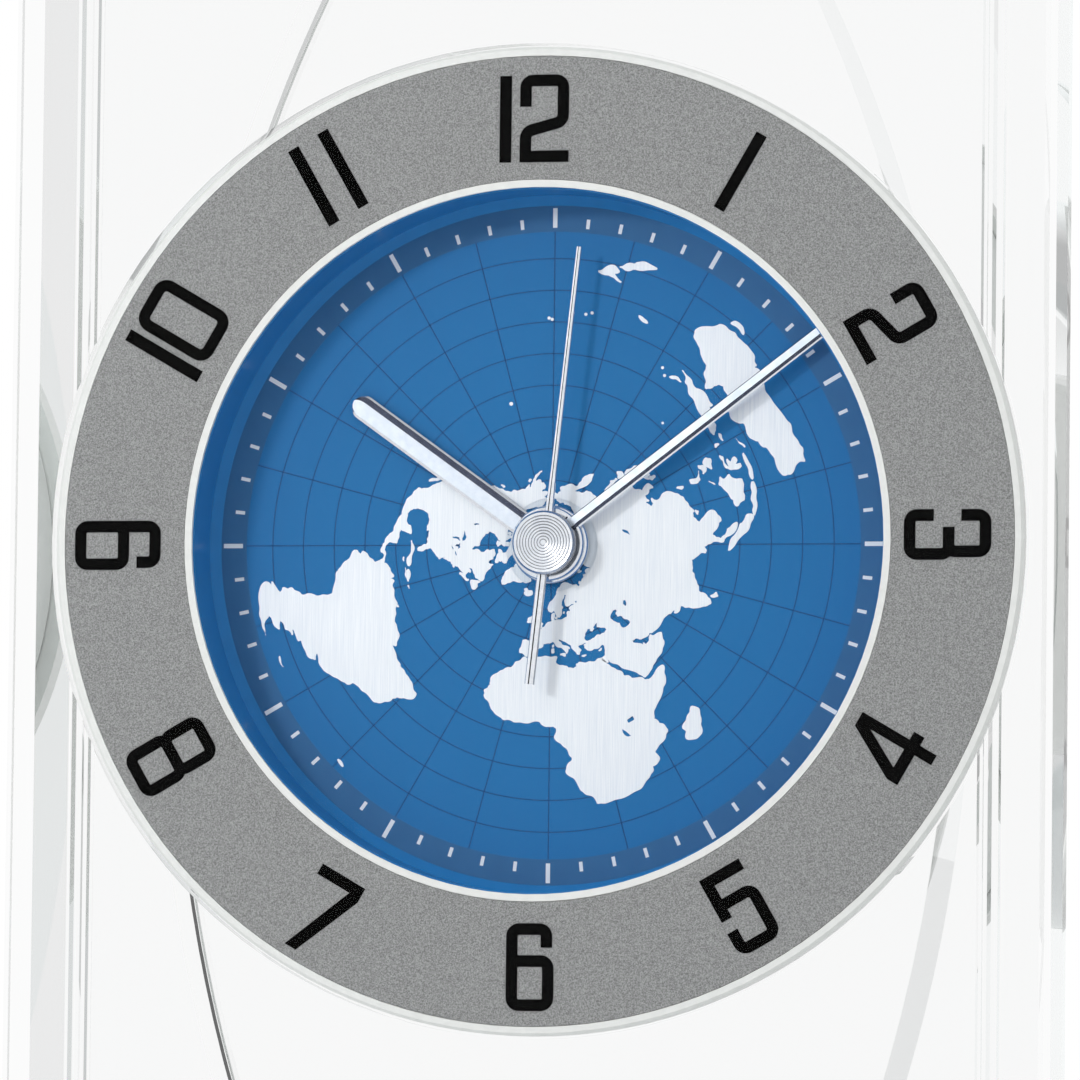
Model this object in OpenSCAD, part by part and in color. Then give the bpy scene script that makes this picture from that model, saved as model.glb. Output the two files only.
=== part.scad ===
// World time clock: a clear two-part case holds a round dial module with a quartz movement.
// Millimetres. X runs to the right, Y to the back and Z up. The origin is on the table,
// under the middle of the case. Depths on the face are measured from the front of the numeral ring.

/* [Clear case] */
// Clear width of the panel beside the flange of the dial module
side_margin = 4.5; // [3.5:0.5:10]
// Height of the clear front panel
body_h = 170; // [150:1:200]
// Thickness of the front panel
panel_t = 3; // [2:0.5:5]
// Radius of the panel's upper corners
top_corner_r = 8; // [3:1:14]
// Radius of the panel's lower corners
low_corner_r = 3; // [2:1:6]
// Bevel along the panel's front edge
panel_bevel = 1; // [0.4:0.2:1.4]
// Clear wall of the block beside the seat of the flange
block_wall = 1.6; // [1.2:0.1:2.4]
// Thickness of the clear block without its barrel
block_t = 12; // [10:0.5:16]
// Draft on each side of the block, over its thickness
block_draft = 1.5; // [0.5:0.25:2.5]
// Distance of the block's top below the panel's top
block_inset = 2; // [1:0.5:4]
// Clear wall of the barrel beside the bore, where the barrel is widest
barrel_wall = 3.5; // [2:0.5:8]
// Radius of the barrel's curved sides
barrel_r = 160; // [150:5:220]
// Radius of the barrel's rounded rear edge
barrel_edge = 1.2; // [0.6:0.2:2]
// Distance from the panel's side to the wide flute
wide_flute_inset = 7.3; // [7:0.1:8]
// Width of the wide flute
wide_flute_w = 1.35; // [0.8:0.05:1.6]
// Distance from the panel's side to the narrow flute
narrow_flute_inset = 8.75; // [8.7:0.05:9.5]
// Width of the narrow flute
narrow_flute_w = 0.7; // [0.4:0.05:1]
// Depth of both flutes
flute_depth = 0.5; // [0.2:0.1:0.8]

/* [Dial module] */
// Height of the hands' axis above the underside of the panel
axis_h = 95; // [90:1:100]
// Width of the numeral ring between its two edges
ring_w = 12.75; // [11:0.25:14]
// Thickness of the numeral ring
ring_t = 0.6; // [0.4:0.1:1]
// Width of the pale edge that the cup's flange shows round the ring
flange_edge = 1; // [0.6:0.1:1.4]
// Thickness of the cup's flange
flange_t = 1.8; // [1.6:0.1:2.4]
// Width of the white lip that shows inside the numeral ring
lip_w = 0.8; // [0.6:0.05:1]
// Wall thickness of the cup
cup_wall = 1.2; // [0.9:0.1:1.6]
// Depth of the dial behind the front of the ring
dial_depth = 8; // [7.6:0.1:9]
// Thickness of the dial plate
dial_t = 0.8; // [0.5:0.1:1.2]
// Width of the sloping foot of the reflector wall
reflector_foot = 1; // [0.5:0.1:1.5]

/* [Hands] */
// Distance by which the hour hand is shorter than the minute hand
hour_short = 10; // [8:0.1:15]
// Width of the hour hand
hour_w = 2.6; // [1.6:0.1:3]
// Gap between the tip of the minute hand and the reflector wall
minute_gap = 0.4; // [0.4:0.1:6]
// Width of the minute hand at its root
minute_w = 1.4; // [0.9:0.05:1.6]
// Width of the minute hand at its tip
minute_tip_w = 1.3; // [0.5:0.05:1.4]
// Distance by which the second hand is shorter than the minute hand
second_short = 5; // [2:0.1:10]
// Length of the second hand's tail
second_tail = 14.7; // [8:0.1:18]
// Width of the second hand at its tip
second_tip_w = 0.55; // [0.3:0.05:0.8]
// Width of the second hand beside its cap
second_root_w = 0.65; // [0.5:0.05:1]
// Width of the second hand's tail
second_tail_w = 1.05; // [0.7:0.05:1.3]
// Diameter of the grooved cap
cap_d = 6.8; // [5:0.1:7.4]
// Turned grooves on the cap
cap_grooves = 8; // [4:1:10]
// Diameter of the minute hand's boss
minute_boss_d = 7.8; // [6:0.1:8.6]
// Diameter of the hour hand's boss
hour_boss_d = 8.2; // [8:0.1:11]

/* [Movement] */
// Thickness of the main plate
plate_t = 1.6; // [1.2:0.1:2]
// Thickness of every wheel's rim
wheel_t = 0.8; // [0.6:0.05:0.8]
// Gear module of the train and the motion work
gear_m = 0.3; // [0.28:0.01:0.3]
// Thickness of the train cover
train_cover_t = 1.2; // [0.8:0.1:1.6]
// Diameter of the battery
cell_d = 14.2; // [13.8:0.1:14.3]
// Length of the battery without its button
cell_l = 48.2; // [46:0.1:48.4]
// Room between the corners of the battery bay and the rim of the main plate
bay_margin = 0.99; // [0.5:0.01:3]
// Thickness of the rear cover
cover_t = 2; // [1.8:0.1:2.6]
// Overlap of the rear cover on the case round the bore
cover_lip = 1.5; // [1:0.25:2]
// Diameter of the setting knob
knob_d = 9; // [7:0.5:9.5]

/* [Hidden] */
$fn = 96;

// Clearances
bond_gap = 0.1;
seat_gap = 0.05;
running_gap = 0.05;
press_gap = 0.01;
slack = 0.3;
front_gap = 0.5;

// Depths, from the front of the numeral ring
dial_y = dial_depth + seat_gap;
dial_back = dial_y + dial_t;
plate_y0 = dial_back + seat_gap;
plate_y1 = plate_y0 + plate_t;
panel_y0 = -front_gap - panel_t;
block_y0 = -front_gap + bond_gap;
block_y1 = block_y0 + block_t;
barrel_y1 = plate_y1 + cell_d + 0.9;
barrel_t = barrel_y1 - block_y1;
cover_y0 = barrel_y1 + bond_gap;
cover_y1 = cover_y0 + cover_t;
cup_back = cover_y0 - 0.2;
lip_t = 0.5;
ring_y = -(cover_y1 + panel_y0) / 2;

// Depths of the hands, front faces first
hour_y = dial_depth - 1.05;
hour_t = 0.65;
minute_y = hour_y - 1.2;
minute_t = 0.75;
second_y = minute_y - 0.85;
second_t = 0.3;
cap_y = second_y - 1;
blade_edge = 0.15;
cap_land = 0.25;
groove_depth = 0.12;

// Rest angles of the hands, clockwise from twelve
hour_angle = 305.6;
minute_angle = 52.7;
second_angle = 6;

// Tube and arbor radii of the hand stack
arbor_r = 0.5;
cannon_r = 1.5;
cannon_tip_r = 1.2;
hour_tube_r = 2.5;
hour_tip_r = 2.1;
boss_r = 3.9;
pivot_r = 0.4;
rotor_pivot_r = 0.3;

// Levels of the wheels
level_gap = 0.4;
function level(n) = plate_y1 + 0.5 + n * (wheel_t + level_gap);
train_cover_y0 = level(6) + 0.2;
train_cover_y1 = train_cover_y0 + train_cover_t;

// Tooth counts
cannon_teeth = 10;
motion_teeth = 30;
motion_pinion_teeth = 8;
hour_teeth = 32;
setting_teeth = 20;
second_teeth = 60;
second_pinion_teeth = 8;
third_teeth = 60;
third_pinion_teeth = 8;
centre_teeth = 64;
step_teeth = 48;
step_pinion_teeth = 12;
rotor_teeth = 8;
third_m = gear_m * (second_pinion_teeth + third_teeth) / (third_pinion_teeth + centre_teeth);

// Directions and places of the axes on the face, from the hands' axis
motion_dir = -5;
third_dir = 150;
step_dir = 60;
rotor_dir = 30;
function centre_distance(a, b, m) = (a + b) * m / 2;
function polar(d, a) = [d * cos(a), d * sin(a)];
motion_at = polar(centre_distance(cannon_teeth, motion_teeth, gear_m), motion_dir);
setting_at = motion_at + polar(centre_distance(motion_teeth, setting_teeth, gear_m), motion_dir);
third_at = polar(centre_distance(second_pinion_teeth, third_teeth, gear_m), third_dir);
step_at = polar(centre_distance(second_teeth, step_pinion_teeth, gear_m), step_dir);
rotor_at = step_at + polar(centre_distance(step_teeth, rotor_teeth, gear_m), rotor_dir);

// A tooth of one wheel stands in a gap of the next
function mate(dir, phase, teeth, mate_teeth) = dir + 180 + ((dir - phase) * teeth + 180) / mate_teeth;
motion_phase = mate(motion_dir, 0, cannon_teeth, motion_teeth);
hour_phase = mate(motion_dir + 180, 0, motion_pinion_teeth, hour_teeth);
setting_phase = mate(motion_dir, motion_phase, motion_teeth, setting_teeth);
third_phase = mate(third_dir, 0, second_pinion_teeth, third_teeth);
centre_phase = mate(third_dir + 180, 0, third_pinion_teeth, centre_teeth);
step_phase = mate(step_dir, 0, second_teeth, step_pinion_teeth);
rotor_phase = mate(rotor_dir, 0, step_teeth, rotor_teeth);

function tip_r(teeth, m) = teeth * m / 2 + 0.78 * m;

// Battery bay, below the centre wheel
cell_r = cell_d / 2;
cell_y = cover_y0 - slack - cell_r;
cell_button_r = 2.7;
cell_button_l = 1.2;
bay_wall = 1.1;
bay_half_l = cell_l / 2 + 2.3;
bay_half_w = cell_r + 0.15;
cell_drop = tip_r(centre_teeth, third_m) + slack + bay_wall + bay_half_w;
rail_half_l = bay_half_l - 0.4;
end_wall_half_w = 5;
contact_t = 0.4;
door_half_l = bay_half_l + 0.3;
door_half_w = cell_r + 1.3;
door_t = 1.1;
knob_y0 = cover_y0 - 1;
knob_y1 = cover_y1 - 0.2;

// Radii of the dial module, from the battery bay outwards
plate_r = norm([bay_half_l + bay_wall, cell_drop + end_wall_half_w]) + bay_margin;
reflector_r = plate_r + 0.15;
cup_in_r = reflector_r + seat_gap;
cup_r = cup_in_r + cup_wall;
ring_in_r = cup_in_r + 0.25;
ring_r = ring_in_r + ring_w;
lip_in_r = ring_in_r - lip_w;
wall_r = lip_in_r - 0.15;
flange_r = ring_r + flange_edge;
bore_r = cup_r + slack;
minute_len = wall_r - minute_gap;
hour_len = minute_len - hour_short;
second_len = minute_len - second_short;

// Widths of the case
body_w = 2 * (flange_r + side_margin);
block_w = 2 * (flange_r + slack + block_wall);
barrel_half_w = bore_r + barrel_wall;
cover_r = bore_r + cover_lip;

// Screws, posts and pillars on the main plate
screw_r = 0.85;
screw_head_r = 1.7;
screw_head_t = 0.8;
screw_grip = 5;
stem_r = 1.2;
post_r = 2.6;
side_post = polar(plate_r - post_r - 2.9, 15);
low_post_z = -(cell_drop + bay_half_w + bay_wall + slack + post_r);
post_places = [side_post, [-side_post[0], side_post[1]], [11, low_post_z], [-11, low_post_z]];
pillar_r = 1.9;
third_pillar = third_at + polar(tip_r(third_teeth, gear_m) + pillar_r + 1.5, 197);
knob_pillar = setting_at + polar(knob_d / 2 + pillar_r + 3, 25);
step_pillar = step_at + polar(tip_r(step_teeth, gear_m) + pillar_r + 4.6, 127);
pillar_places = [third_pillar, knob_pillar, step_pillar];
train_cover_r = norm(third_pillar) + pillar_r + 3;
train_cover_low = cell_drop - bay_half_w - bay_wall - 1.5;
train_cover_top = step_pillar[1] + pillar_r + 0.9;

// Coil, stator and circuit
coil_l = 16;
coil_r = 2.9;
bobbin_r = coil_r + 0.5;
coil_end = 4;
coil_at = [rotor_at[0] - 4.2, train_cover_top + bobbin_r + slack];
leg_x = coil_l / 2 + 2.5;
stator_t = 0.8;
magnet_r = 2.5;
board_at = third_at + [-7.2, tip_r(third_teeth, gear_m) + 5.9];
board_size = [15, 11];
board_t = 1;
board_y0 = plate_y1 + 1.2;

// Puts a drawing on the face: local x to the right, local y up, local z to the back
module on_face(depth, at = [0, 0]) {
    translate([at[0], ring_y + depth, axis_h + at[1]])
        rotate([-90, 0, 0])
            mirror([0, 1, 0])
                children();
}

// Turns a drawing clockwise from twelve, as a hand does
module at_clock(angle) {
    rotate([0, 0, -angle]) children();
}

module rounded_panel(w, h, top_r, low_r) {
    flat_w = w - 2 * top_r;
    translate([-flat_w / 2, 0]) square([flat_w, h]);
    translate([-w / 2, low_r]) square([w, h - top_r - low_r]);
    translate([-w / 2 + low_r, 0]) square([w - 2 * low_r, h / 2]);
    for (side = [-1, 1]) {
        translate([side * flat_w / 2, h - top_r]) circle(r = top_r);
        translate([side * (w / 2 - low_r), low_r]) circle(r = low_r);
    }
}

// A wheel with straight-sided teeth, one of them at the phase angle
module gear(teeth, m, phase) {
    pitch_r = teeth * m / 2;
    root_r = pitch_r - 1.2 * m;
    top_r = tip_r(teeth, m);
    half_thick = 0.17 * PI * m;
    function flank(r) = max(half_thick - (r - pitch_r) * tan(20), 0.08 * m);
    function half_at(r) = min(flank(r), 0.92 * PI * r / teeth);
    function corner(i, r, side) = polar(r, phase + 360 * i / teeth + side * half_at(r) / r * 180 / PI);
    linear_extrude(wheel_t)
        polygon([for (i = [0:teeth - 1])
            for (p = [[root_r, -1], [pitch_r, -1], [top_r, -1], [top_r, 1], [pitch_r, 1], [root_r, 1]])
                corner(i, p[0], p[1])]);
}

// A tube or a rod between two depths on the face
module rod(y0, y1, r, at = [0, 0]) {
    on_face(y0, at) cylinder(h = y1 - y0, r = r);
}

// Windows that lighten a wheel, between its hub and its rim
module spokes(teeth, m, hub_r, count) {
    rim_r = teeth * m / 2 - 1.9 * m;
    for (i = [0:count - 1])
        rotate([0, 0, (i + 0.5) * 360 / count])
            translate([(rim_r + hub_r) / 2, 0, -1])
                cylinder(h = wheel_t + 2, r = (rim_r - hub_r) / 2 - 0.25);
}

// Clear case
module front_panel() {
    color([0.93, 0.96, 0.98, 0.4])
    translate([0, ring_y + panel_y0, 0])
        rotate([-90, 0, 0])
            mirror([0, 1, 0]) {
                translate([0, 0, panel_bevel])
                    linear_extrude(panel_t - panel_bevel)
                        rounded_panel(body_w, body_h, top_corner_r, low_corner_r);
                bevelled_face();
            }
}

// The front of the panel steps in by its bevel
module bevelled_face() {
    hull() {
        for (step = [0, 1])
            translate([0, step * panel_bevel, step == 0 ? panel_bevel : 0])
                linear_extrude(0.01)
                    rounded_panel(body_w - 2 * step * panel_bevel, body_h - 2 * step * panel_bevel,
                        top_corner_r - step * panel_bevel, low_corner_r - step * panel_bevel, $fn = 32);
    }
}

// A shallow groove with sloping sides on the front of the block
module flute(x, w) {
    translate([x, ring_y + block_y0, -1])
        linear_extrude(body_h + 2)
            polygon([[-w / 2, -0.01], [w / 2, -0.01], [w / 4, flute_depth], [-w / 4, flute_depth]]);
}

module block_profile() {
    back_half_w = block_w / 2 - block_draft;
    polygon([[-block_w / 2, 0], [block_w / 2, 0], [back_half_w, block_t], [-back_half_w, block_t]]);
}

module barrel_outline() {
    offset_x = barrel_r - barrel_half_w;
    intersection() {
        translate([offset_x, body_h / 2]) circle(r = barrel_r, $fn = 240);
        translate([-offset_x, body_h / 2]) circle(r = barrel_r, $fn = 240);
        translate([-body_w / 2, 0]) square([body_w, body_h - block_inset]);
    }
}

// The barrel's end draws in along a quarter round
module rounded_rim() {
    hull() {
        for (a = [0:30:90])
            translate([0, 0, barrel_t - barrel_edge * (1 - sin(a)) - 0.01])
                linear_extrude(0.01)
                    offset(delta = -barrel_edge * (1 - cos(a)))
                        barrel_outline();
    }
}

module clear_block() {
    color([0.9, 0.94, 0.97, 0.4])
    difference() {
        union() {
            translate([0, ring_y + block_y0, 0])
                linear_extrude(body_h - block_inset)
                    block_profile();
            translate([0, ring_y + block_y1, 0])
                rotate([-90, 0, 0])
                    mirror([0, 1, 0]) {
                        linear_extrude(barrel_t - barrel_edge)
                            barrel_outline();
                        rounded_rim();
                    }
        }
        rod(block_y0 - 1, barrel_y1 + 1, bore_r);
        rod(block_y0 - 1, flange_t + seat_gap, flange_r + slack);
        for (side = [-1, 1]) {
            flute(side * (body_w / 2 - wide_flute_inset), wide_flute_w);
            flute(side * (body_w / 2 - narrow_flute_inset), narrow_flute_w);
        }
    }
}

// Dial module
module dial_cup() {
    seat_r = ring_r + seat_gap;
    seat_in_r = ring_in_r - seat_gap;
    seat_y = ring_t + seat_gap;
    color([0.93, 0.93, 0.92])
    on_face(0)
        rotate_extrude()
            polygon([[lip_in_r, 0], [seat_in_r, 0], [seat_in_r, seat_y], [seat_r, seat_y],
                [seat_r, 0], [flange_r - 0.3, 0], [flange_r, 0.3], [flange_r, flange_t],
                [cup_r, flange_t], [cup_r, cup_back], [cup_in_r, cup_back],
                [cup_in_r, lip_t], [lip_in_r, lip_t]]);
}

module numeral_ring() {
    color([0.55, 0.55, 0.55])
    on_face(0)
        difference() {
            cylinder(h = ring_t, r = ring_r);
            translate([0, 0, -1]) cylinder(h = ring_t + 2, r = ring_in_r);
        }
}

module reflector_ring() {
    foot_r = wall_r - reflector_foot;
    color([0.13, 0.33, 0.56])
    on_face(0)
        rotate_extrude()
            polygon([[wall_r, lip_t + seat_gap], [reflector_r, lip_t + seat_gap], [reflector_r, dial_depth],
                [foot_r, dial_depth], [wall_r, dial_depth - reflector_foot]]);
}

module dial_plate() {
    color([0.18, 0.44, 0.68])
    difference() {
        rod(dial_y, dial_back, reflector_r - seat_gap);
        rod(dial_y - 1, dial_back + 1, boss_r + 0.15);
    }
}

// Hands
// Cross-section of a hand with a ridge towards the front, drawn along local y
module ridged_bar(len, w, t, ridge) {
    rotate([-90, 0, 0])
        linear_extrude(len)
            polygon([[-w / 2, -t], [w / 2, -t], [w / 2, -blade_edge], [ridge * w, 0],
                [-w / 2, -blade_edge]]);
}

module hour_hand() {
    color([0.85, 0.87, 0.9])
    difference() {
        on_face(hour_y)
            union() {
                cylinder(h = hour_t, d = hour_boss_d);
                at_clock(hour_angle)
                    intersection() {
                        ridged_bar(hour_len, hour_w, 0.4, 0.12);
                        union() {
                            translate([-hour_w / 2, 0, -1]) cube([hour_w, hour_len - hour_w / 2, 3]);
                            translate([0, hour_len - hour_w / 2, -1]) cylinder(h = 3, d = hour_w);
                        }
                    }
            }
        rod(hour_y - 1, hour_y + hour_t + 1, hour_tip_r);
    }
}

module minute_hand() {
    color([0.85, 0.87, 0.9])
    difference() {
        on_face(minute_y)
            union() {
                cylinder(h = minute_t, d = minute_boss_d);
                at_clock(minute_angle)
                    intersection() {
                        ridged_bar(minute_len, minute_w, 0.35, 0.1);
                        translate([0, 0, -1])
                            linear_extrude(3)
                                polygon([[-minute_w / 2, 0], [minute_w / 2, 0],
                                    [minute_tip_w / 2, minute_len], [-minute_tip_w / 2, minute_len]]);
                    }
            }
        rod(minute_y - 1, minute_y + minute_t + 1, cannon_tip_r);
    }
}

module second_hand() {
    full_len = second_tail + second_len;
    outline = [[-second_tail_w, 0], [second_tail_w, 0], [second_tail_w, second_tail - 2],
        [second_root_w, second_tail + 2], [second_tip_w, full_len], [-second_tip_w, full_len],
        [-second_root_w, second_tail + 2], [-second_tail_w, second_tail - 2]];
    boss_back = minute_y - 0.2;
    color([0.85, 0.87, 0.9])
    difference() {
        union() {
            on_face(second_y)
                at_clock(second_angle)
                    translate([0, -second_tail, 0])
                        intersection() {
                            ridged_bar(full_len, second_tail_w, second_t, 0);
                            translate([0, 0, -1])
                                linear_extrude(3)
                                    polygon([for (p = outline) [p[0] / 2, p[1]]]);
                        }
            rod(second_y, boss_back, cannon_tip_r);
        }
        rod(second_y - 1, boss_back + 1, arbor_r + press_gap);
    }
}

// Turned cap with rings of small grooves on its face
module hand_cap() {
    cap_r = cap_d / 2;
    pitch = (cap_r - cap_land - 0.2) / cap_grooves;
    face = [for (i = [0:cap_grooves - 1])
        for (p = [[0.2 + i * pitch, 0.1], [0.2 + (i + 0.5) * pitch, 0.1 + groove_depth]]) p];
    color([0.88, 0.89, 0.92])
    on_face(cap_y)
        rotate_extrude()
            polygon(concat([[0, 0.1]], face, [[cap_r - cap_land, 0.1], [cap_r - 0.12, 0], [cap_r, 0.12],
                [cap_r, second_y - cap_y], [0, second_y - cap_y]]));
}

// Movement
module main_plate() {
    bay_floor = cell_y - cell_r - 0.1;
    color([0.2, 0.2, 0.21])
    difference() {
        union() {
            rod(plate_y0, plate_y1, plate_r);
            rod(dial_depth, plate_y1, boss_r);
            for (p = post_places) rod(plate_y0, cover_y0 - seat_gap, post_r, p);
            for (p = pillar_places) rod(plate_y0, train_cover_y0 - seat_gap, pillar_r, p);
            rod(plate_y0, level(1) + wheel_t + 0.2, pivot_r, motion_at);
            on_face(plate_y0, board_at)
                translate([-board_size[0] / 2 + 1, -board_size[1] / 2 + 1, 0])
                    cube([board_size[0] - 2, board_size[1] - 2, board_y0 - seat_gap - plate_y0]);
            on_face(plate_y0, coil_at)
                for (side = [-1, 1])
                    translate([side * leg_x, 0, 0])
                        cylinder(h = stator_y0() - seat_gap - plate_y0, r = 1.5);
            bay_walls(bay_floor);
        }
        rod(dial_depth - 1, plate_y1 + 1, hour_tube_r + running_gap);
        for (p = post_places) rod(cover_y0 - screw_grip, cover_y0 + 1, screw_r, p);
        for (p = pillar_places) rod(train_cover_y0 - 3, train_cover_y0 + 1, screw_r, p);
        for (p = [third_at, step_at]) rod(plate_y0 + 0.4, plate_y1 + 1, pivot_r + running_gap, p);
        rod(plate_y0 + 0.4, plate_y1 + 1, rotor_pivot_r + running_gap, rotor_at);
        rod(plate_y0 + 0.4, plate_y1 + 1, pivot_r + running_gap, setting_at);
    }
}

function stator_y0() = level(3) + 0.1;

// Rails and end walls that the battery lies between
module bay_walls(bay_floor) {
    wall_top = cover_y0 - seat_gap;
    on_face(plate_y0, [0, -cell_drop]) {
        for (side = [-1, 1]) {
            translate([-rail_half_l, side > 0 ? bay_half_w : -bay_half_w - bay_wall, 0])
                cube([2 * rail_half_l, bay_wall, wall_top - plate_y0 - (side > 0 ? 0 : 3)]);
            translate([side > 0 ? bay_half_l : -bay_half_l - bay_wall, -end_wall_half_w, 0])
                cube([bay_wall, 2 * end_wall_half_w, wall_top - plate_y0 - 1]);
        }
        translate([-rail_half_l + 6, -1.5, 0]) cube([2 * rail_half_l - 12, 3, bay_floor - plate_y0]);
    }
}

module train_cover() {
    color([0.3, 0.3, 0.32])
    difference() {
        on_face(train_cover_y0)
            linear_extrude(train_cover_t)
                intersection() {
                    circle(r = train_cover_r);
                    translate([-train_cover_r, -train_cover_low])
                        square([2 * train_cover_r, train_cover_low + train_cover_top]);
                }
        rod(train_cover_y0 - 1, train_cover_y1 + 1, arbor_r + running_gap);
        for (p = [third_at, step_at]) rod(train_cover_y0 - 1, train_cover_y1 + 1, pivot_r + running_gap, p);
        rod(train_cover_y0 - 1, train_cover_y1 + 1, rotor_pivot_r + running_gap, rotor_at);
        rod(train_cover_y0 - 1, train_cover_y1 + 1, stem_r + slack, setting_at);
        for (p = pillar_places) rod(train_cover_y0 - 1, train_cover_y1 + 1, screw_r + 0.1, p);
    }
}

// A cross-recessed screw: its head stands behind the depth given, its shank goes forward
module screw(depth, len, at) {
    slot = screw_head_r * 0.55;
    difference() {
        union() {
            rod(depth, depth + screw_head_t, screw_head_r, at);
            rod(depth - len, depth, screw_r - seat_gap, at);
        }
        on_face(depth + screw_head_t / 2, at)
            for (turn = [0, 90])
                rotate([0, 0, turn]) translate([-slot, -0.2, 0]) cube([2 * slot, 0.4, 1]);
    }
}

module train_screws() {
    color([0.75, 0.76, 0.78])
    for (p = pillar_places) screw(train_cover_y1 + 0.02, train_cover_t + 2.5, p);
}

module hour_wheel() {
    color([0.86, 0.85, 0.8])
    difference() {
        union() {
            on_face(level(0))
                difference() {
                    gear(hour_teeth, gear_m, hour_phase);
                    spokes(hour_teeth, gear_m, hour_tube_r, 6);
                }
            rod(hour_y + hour_t, level(0) + wheel_t, hour_tube_r);
            rod(hour_y, level(0), hour_tip_r - press_gap);
        }
        rod(hour_y - 1, level(1) + 1, cannon_r + running_gap);
    }
}

module cannon_pinion() {
    cannon_back = level(2) + wheel_t + 0.2;
    color([0.82, 0.7, 0.42])
    difference() {
        union() {
            on_face(level(1)) gear(cannon_teeth, gear_m, 0);
            rod(minute_y + minute_t, level(1), cannon_r);
            rod(minute_y, minute_y + minute_t + 0.1, cannon_tip_r - press_gap);
            rod(level(1), cannon_back, 0.95);
        }
        rod(minute_y - 1, cannon_back + 1, arbor_r + running_gap);
    }
}

module motion_wheel() {
    color([0.86, 0.85, 0.8])
    difference() {
        union() {
            on_face(level(1), motion_at) gear(motion_teeth, gear_m, motion_phase);
            on_face(level(0), motion_at) gear(motion_pinion_teeth, gear_m, 0);
            rod(level(0) + wheel_t, level(1), 0.8, motion_at);
        }
        rod(level(0) - 1, level(2) + 1, pivot_r + running_gap, motion_at);
        on_face(level(1), motion_at) spokes(motion_teeth, gear_m, 1.1, 5);
    }
}

module centre_wheel() {
    color([0.86, 0.85, 0.8])
    difference() {
        on_face(level(2)) gear(centre_teeth, third_m, centre_phase);
        rod(level(2) - 1, level(3) + 1, 0.95 + running_gap);
        on_face(level(2)) spokes(centre_teeth, third_m, 2, 6);
    }
}

module third_wheel() {
    color([0.86, 0.85, 0.8])
    union() {
        on_face(level(3), third_at)
            difference() {
                gear(third_teeth, gear_m, third_phase);
                spokes(third_teeth, gear_m, 1.6, 6);
            }
        on_face(level(2), third_at) gear(third_pinion_teeth, third_m, 0);
        rod(level(2) + wheel_t, level(3), 0.8, third_at);
        rod(plate_y0 + 0.5, train_cover_y1 - 0.1, pivot_r, third_at);
    }
}

module second_wheel() {
    color([0.78, 0.79, 0.82])
    union() {
        on_face(level(4))
            difference() {
                gear(second_teeth, gear_m, 0);
                spokes(second_teeth, gear_m, 1.4, 6);
            }
        on_face(level(3)) gear(second_pinion_teeth, gear_m, 0);
        rod(level(3) + wheel_t, level(4), 0.8);
        rod(second_y, train_cover_y1 - 0.1, arbor_r);
    }
}

module step_wheel() {
    color([0.86, 0.85, 0.8])
    union() {
        on_face(level(5), step_at)
            difference() {
                gear(step_teeth, gear_m, 0);
                spokes(step_teeth, gear_m, 1.5, 6);
            }
        on_face(level(4), step_at) gear(step_pinion_teeth, gear_m, step_phase);
        rod(level(4) + wheel_t, level(5), 1, step_at);
        rod(plate_y0 + 0.5, train_cover_y1 - 0.1, pivot_r, step_at);
    }
}

module rotor() {
    color([0.25, 0.25, 0.28])
    union() {
        on_face(level(5), rotor_at) gear(rotor_teeth, gear_m, rotor_phase);
        rod(level(2), level(4), magnet_r, rotor_at);
        rod(level(4), level(5), 0.8, rotor_at);
        rod(plate_y0 + 0.5, train_cover_y1 - 0.1, rotor_pivot_r, rotor_at);
    }
}

// Laminated stator: a ring round the rotor and two legs up to the coil's core
module stator() {
    color([0.6, 0.62, 0.66])
    on_face(stator_y0())
        linear_extrude(stator_t)
            difference() {
                union() {
                    translate(rotor_at) circle(r = magnet_r + 2.3);
                    for (side = [-1, 1])
                        stator_leg(coil_at + [side * leg_x, 0], rotor_at + [side * 3.5, 2]);
                }
                translate(rotor_at) circle(r = magnet_r + 0.4);
            }
}

// A flat bar with round ends between two places
module stator_leg(from, to) {
    run = to - from;
    angle = atan2(run[1], run[0]);
    translate(from) circle(r = 1.7);
    translate(to) circle(r = 1.2);
    translate(from) rotate(angle) translate([0, -1.2]) square([norm(run), 2.4]);
}

// Copper winding on its bobbin, which sits on the legs of the stator
module coil() {
    coil_y = stator_y0() + stator_t + seat_gap + bobbin_r;
    color([0.7, 0.35, 0.15])
    on_face(coil_y, [coil_at[0] - coil_l / 2 - coil_end, coil_at[1]])
        rotate([0, 90, 0])
            union() {
                translate([0, 0, coil_end]) cylinder(h = coil_l, r = coil_r);
                for (z = [coil_end - 0.8, coil_end + coil_l])
                    translate([0, 0, z]) cylinder(h = 0.8, r = bobbin_r);
                translate([bobbin_r - 1.6, -1, 0]) cube([1.6, 2, coil_l + 2 * coil_end]);
            }
}

module circuit_board() {
    color([0.15, 0.4, 0.25])
    on_face(board_y0, board_at)
        union() {
            translate([-board_size[0] / 2, -board_size[1] / 2, 0])
                cube([board_size[0], board_size[1], board_t]);
            translate([-2.5, -1.5, board_t]) cylinder(h = 0.9, r = 2.2);
        }
}

module quartz_crystal() {
    crystal_r = 1;
    color([0.8, 0.8, 0.82])
    on_face(board_y0 + board_t + crystal_r + seat_gap, board_at)
        translate([1, 3.2, 0])
            rotate([0, 90, 0])
                cylinder(h = 6, r = crystal_r);
}

// Battery lying on its side, with its button to the right
module battery() {
    color([0.75, 0.6, 0.3])
    on_face(cell_y, [0, -cell_drop])
        rotate([0, 90, 0])
            union() {
                translate([0, 0, -cell_l / 2 - 0.5]) cylinder(h = cell_l, r = cell_r);
                translate([0, 0, cell_l / 2 - 0.5]) cylinder(h = cell_button_l, r = cell_button_r);
            }
}

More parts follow.
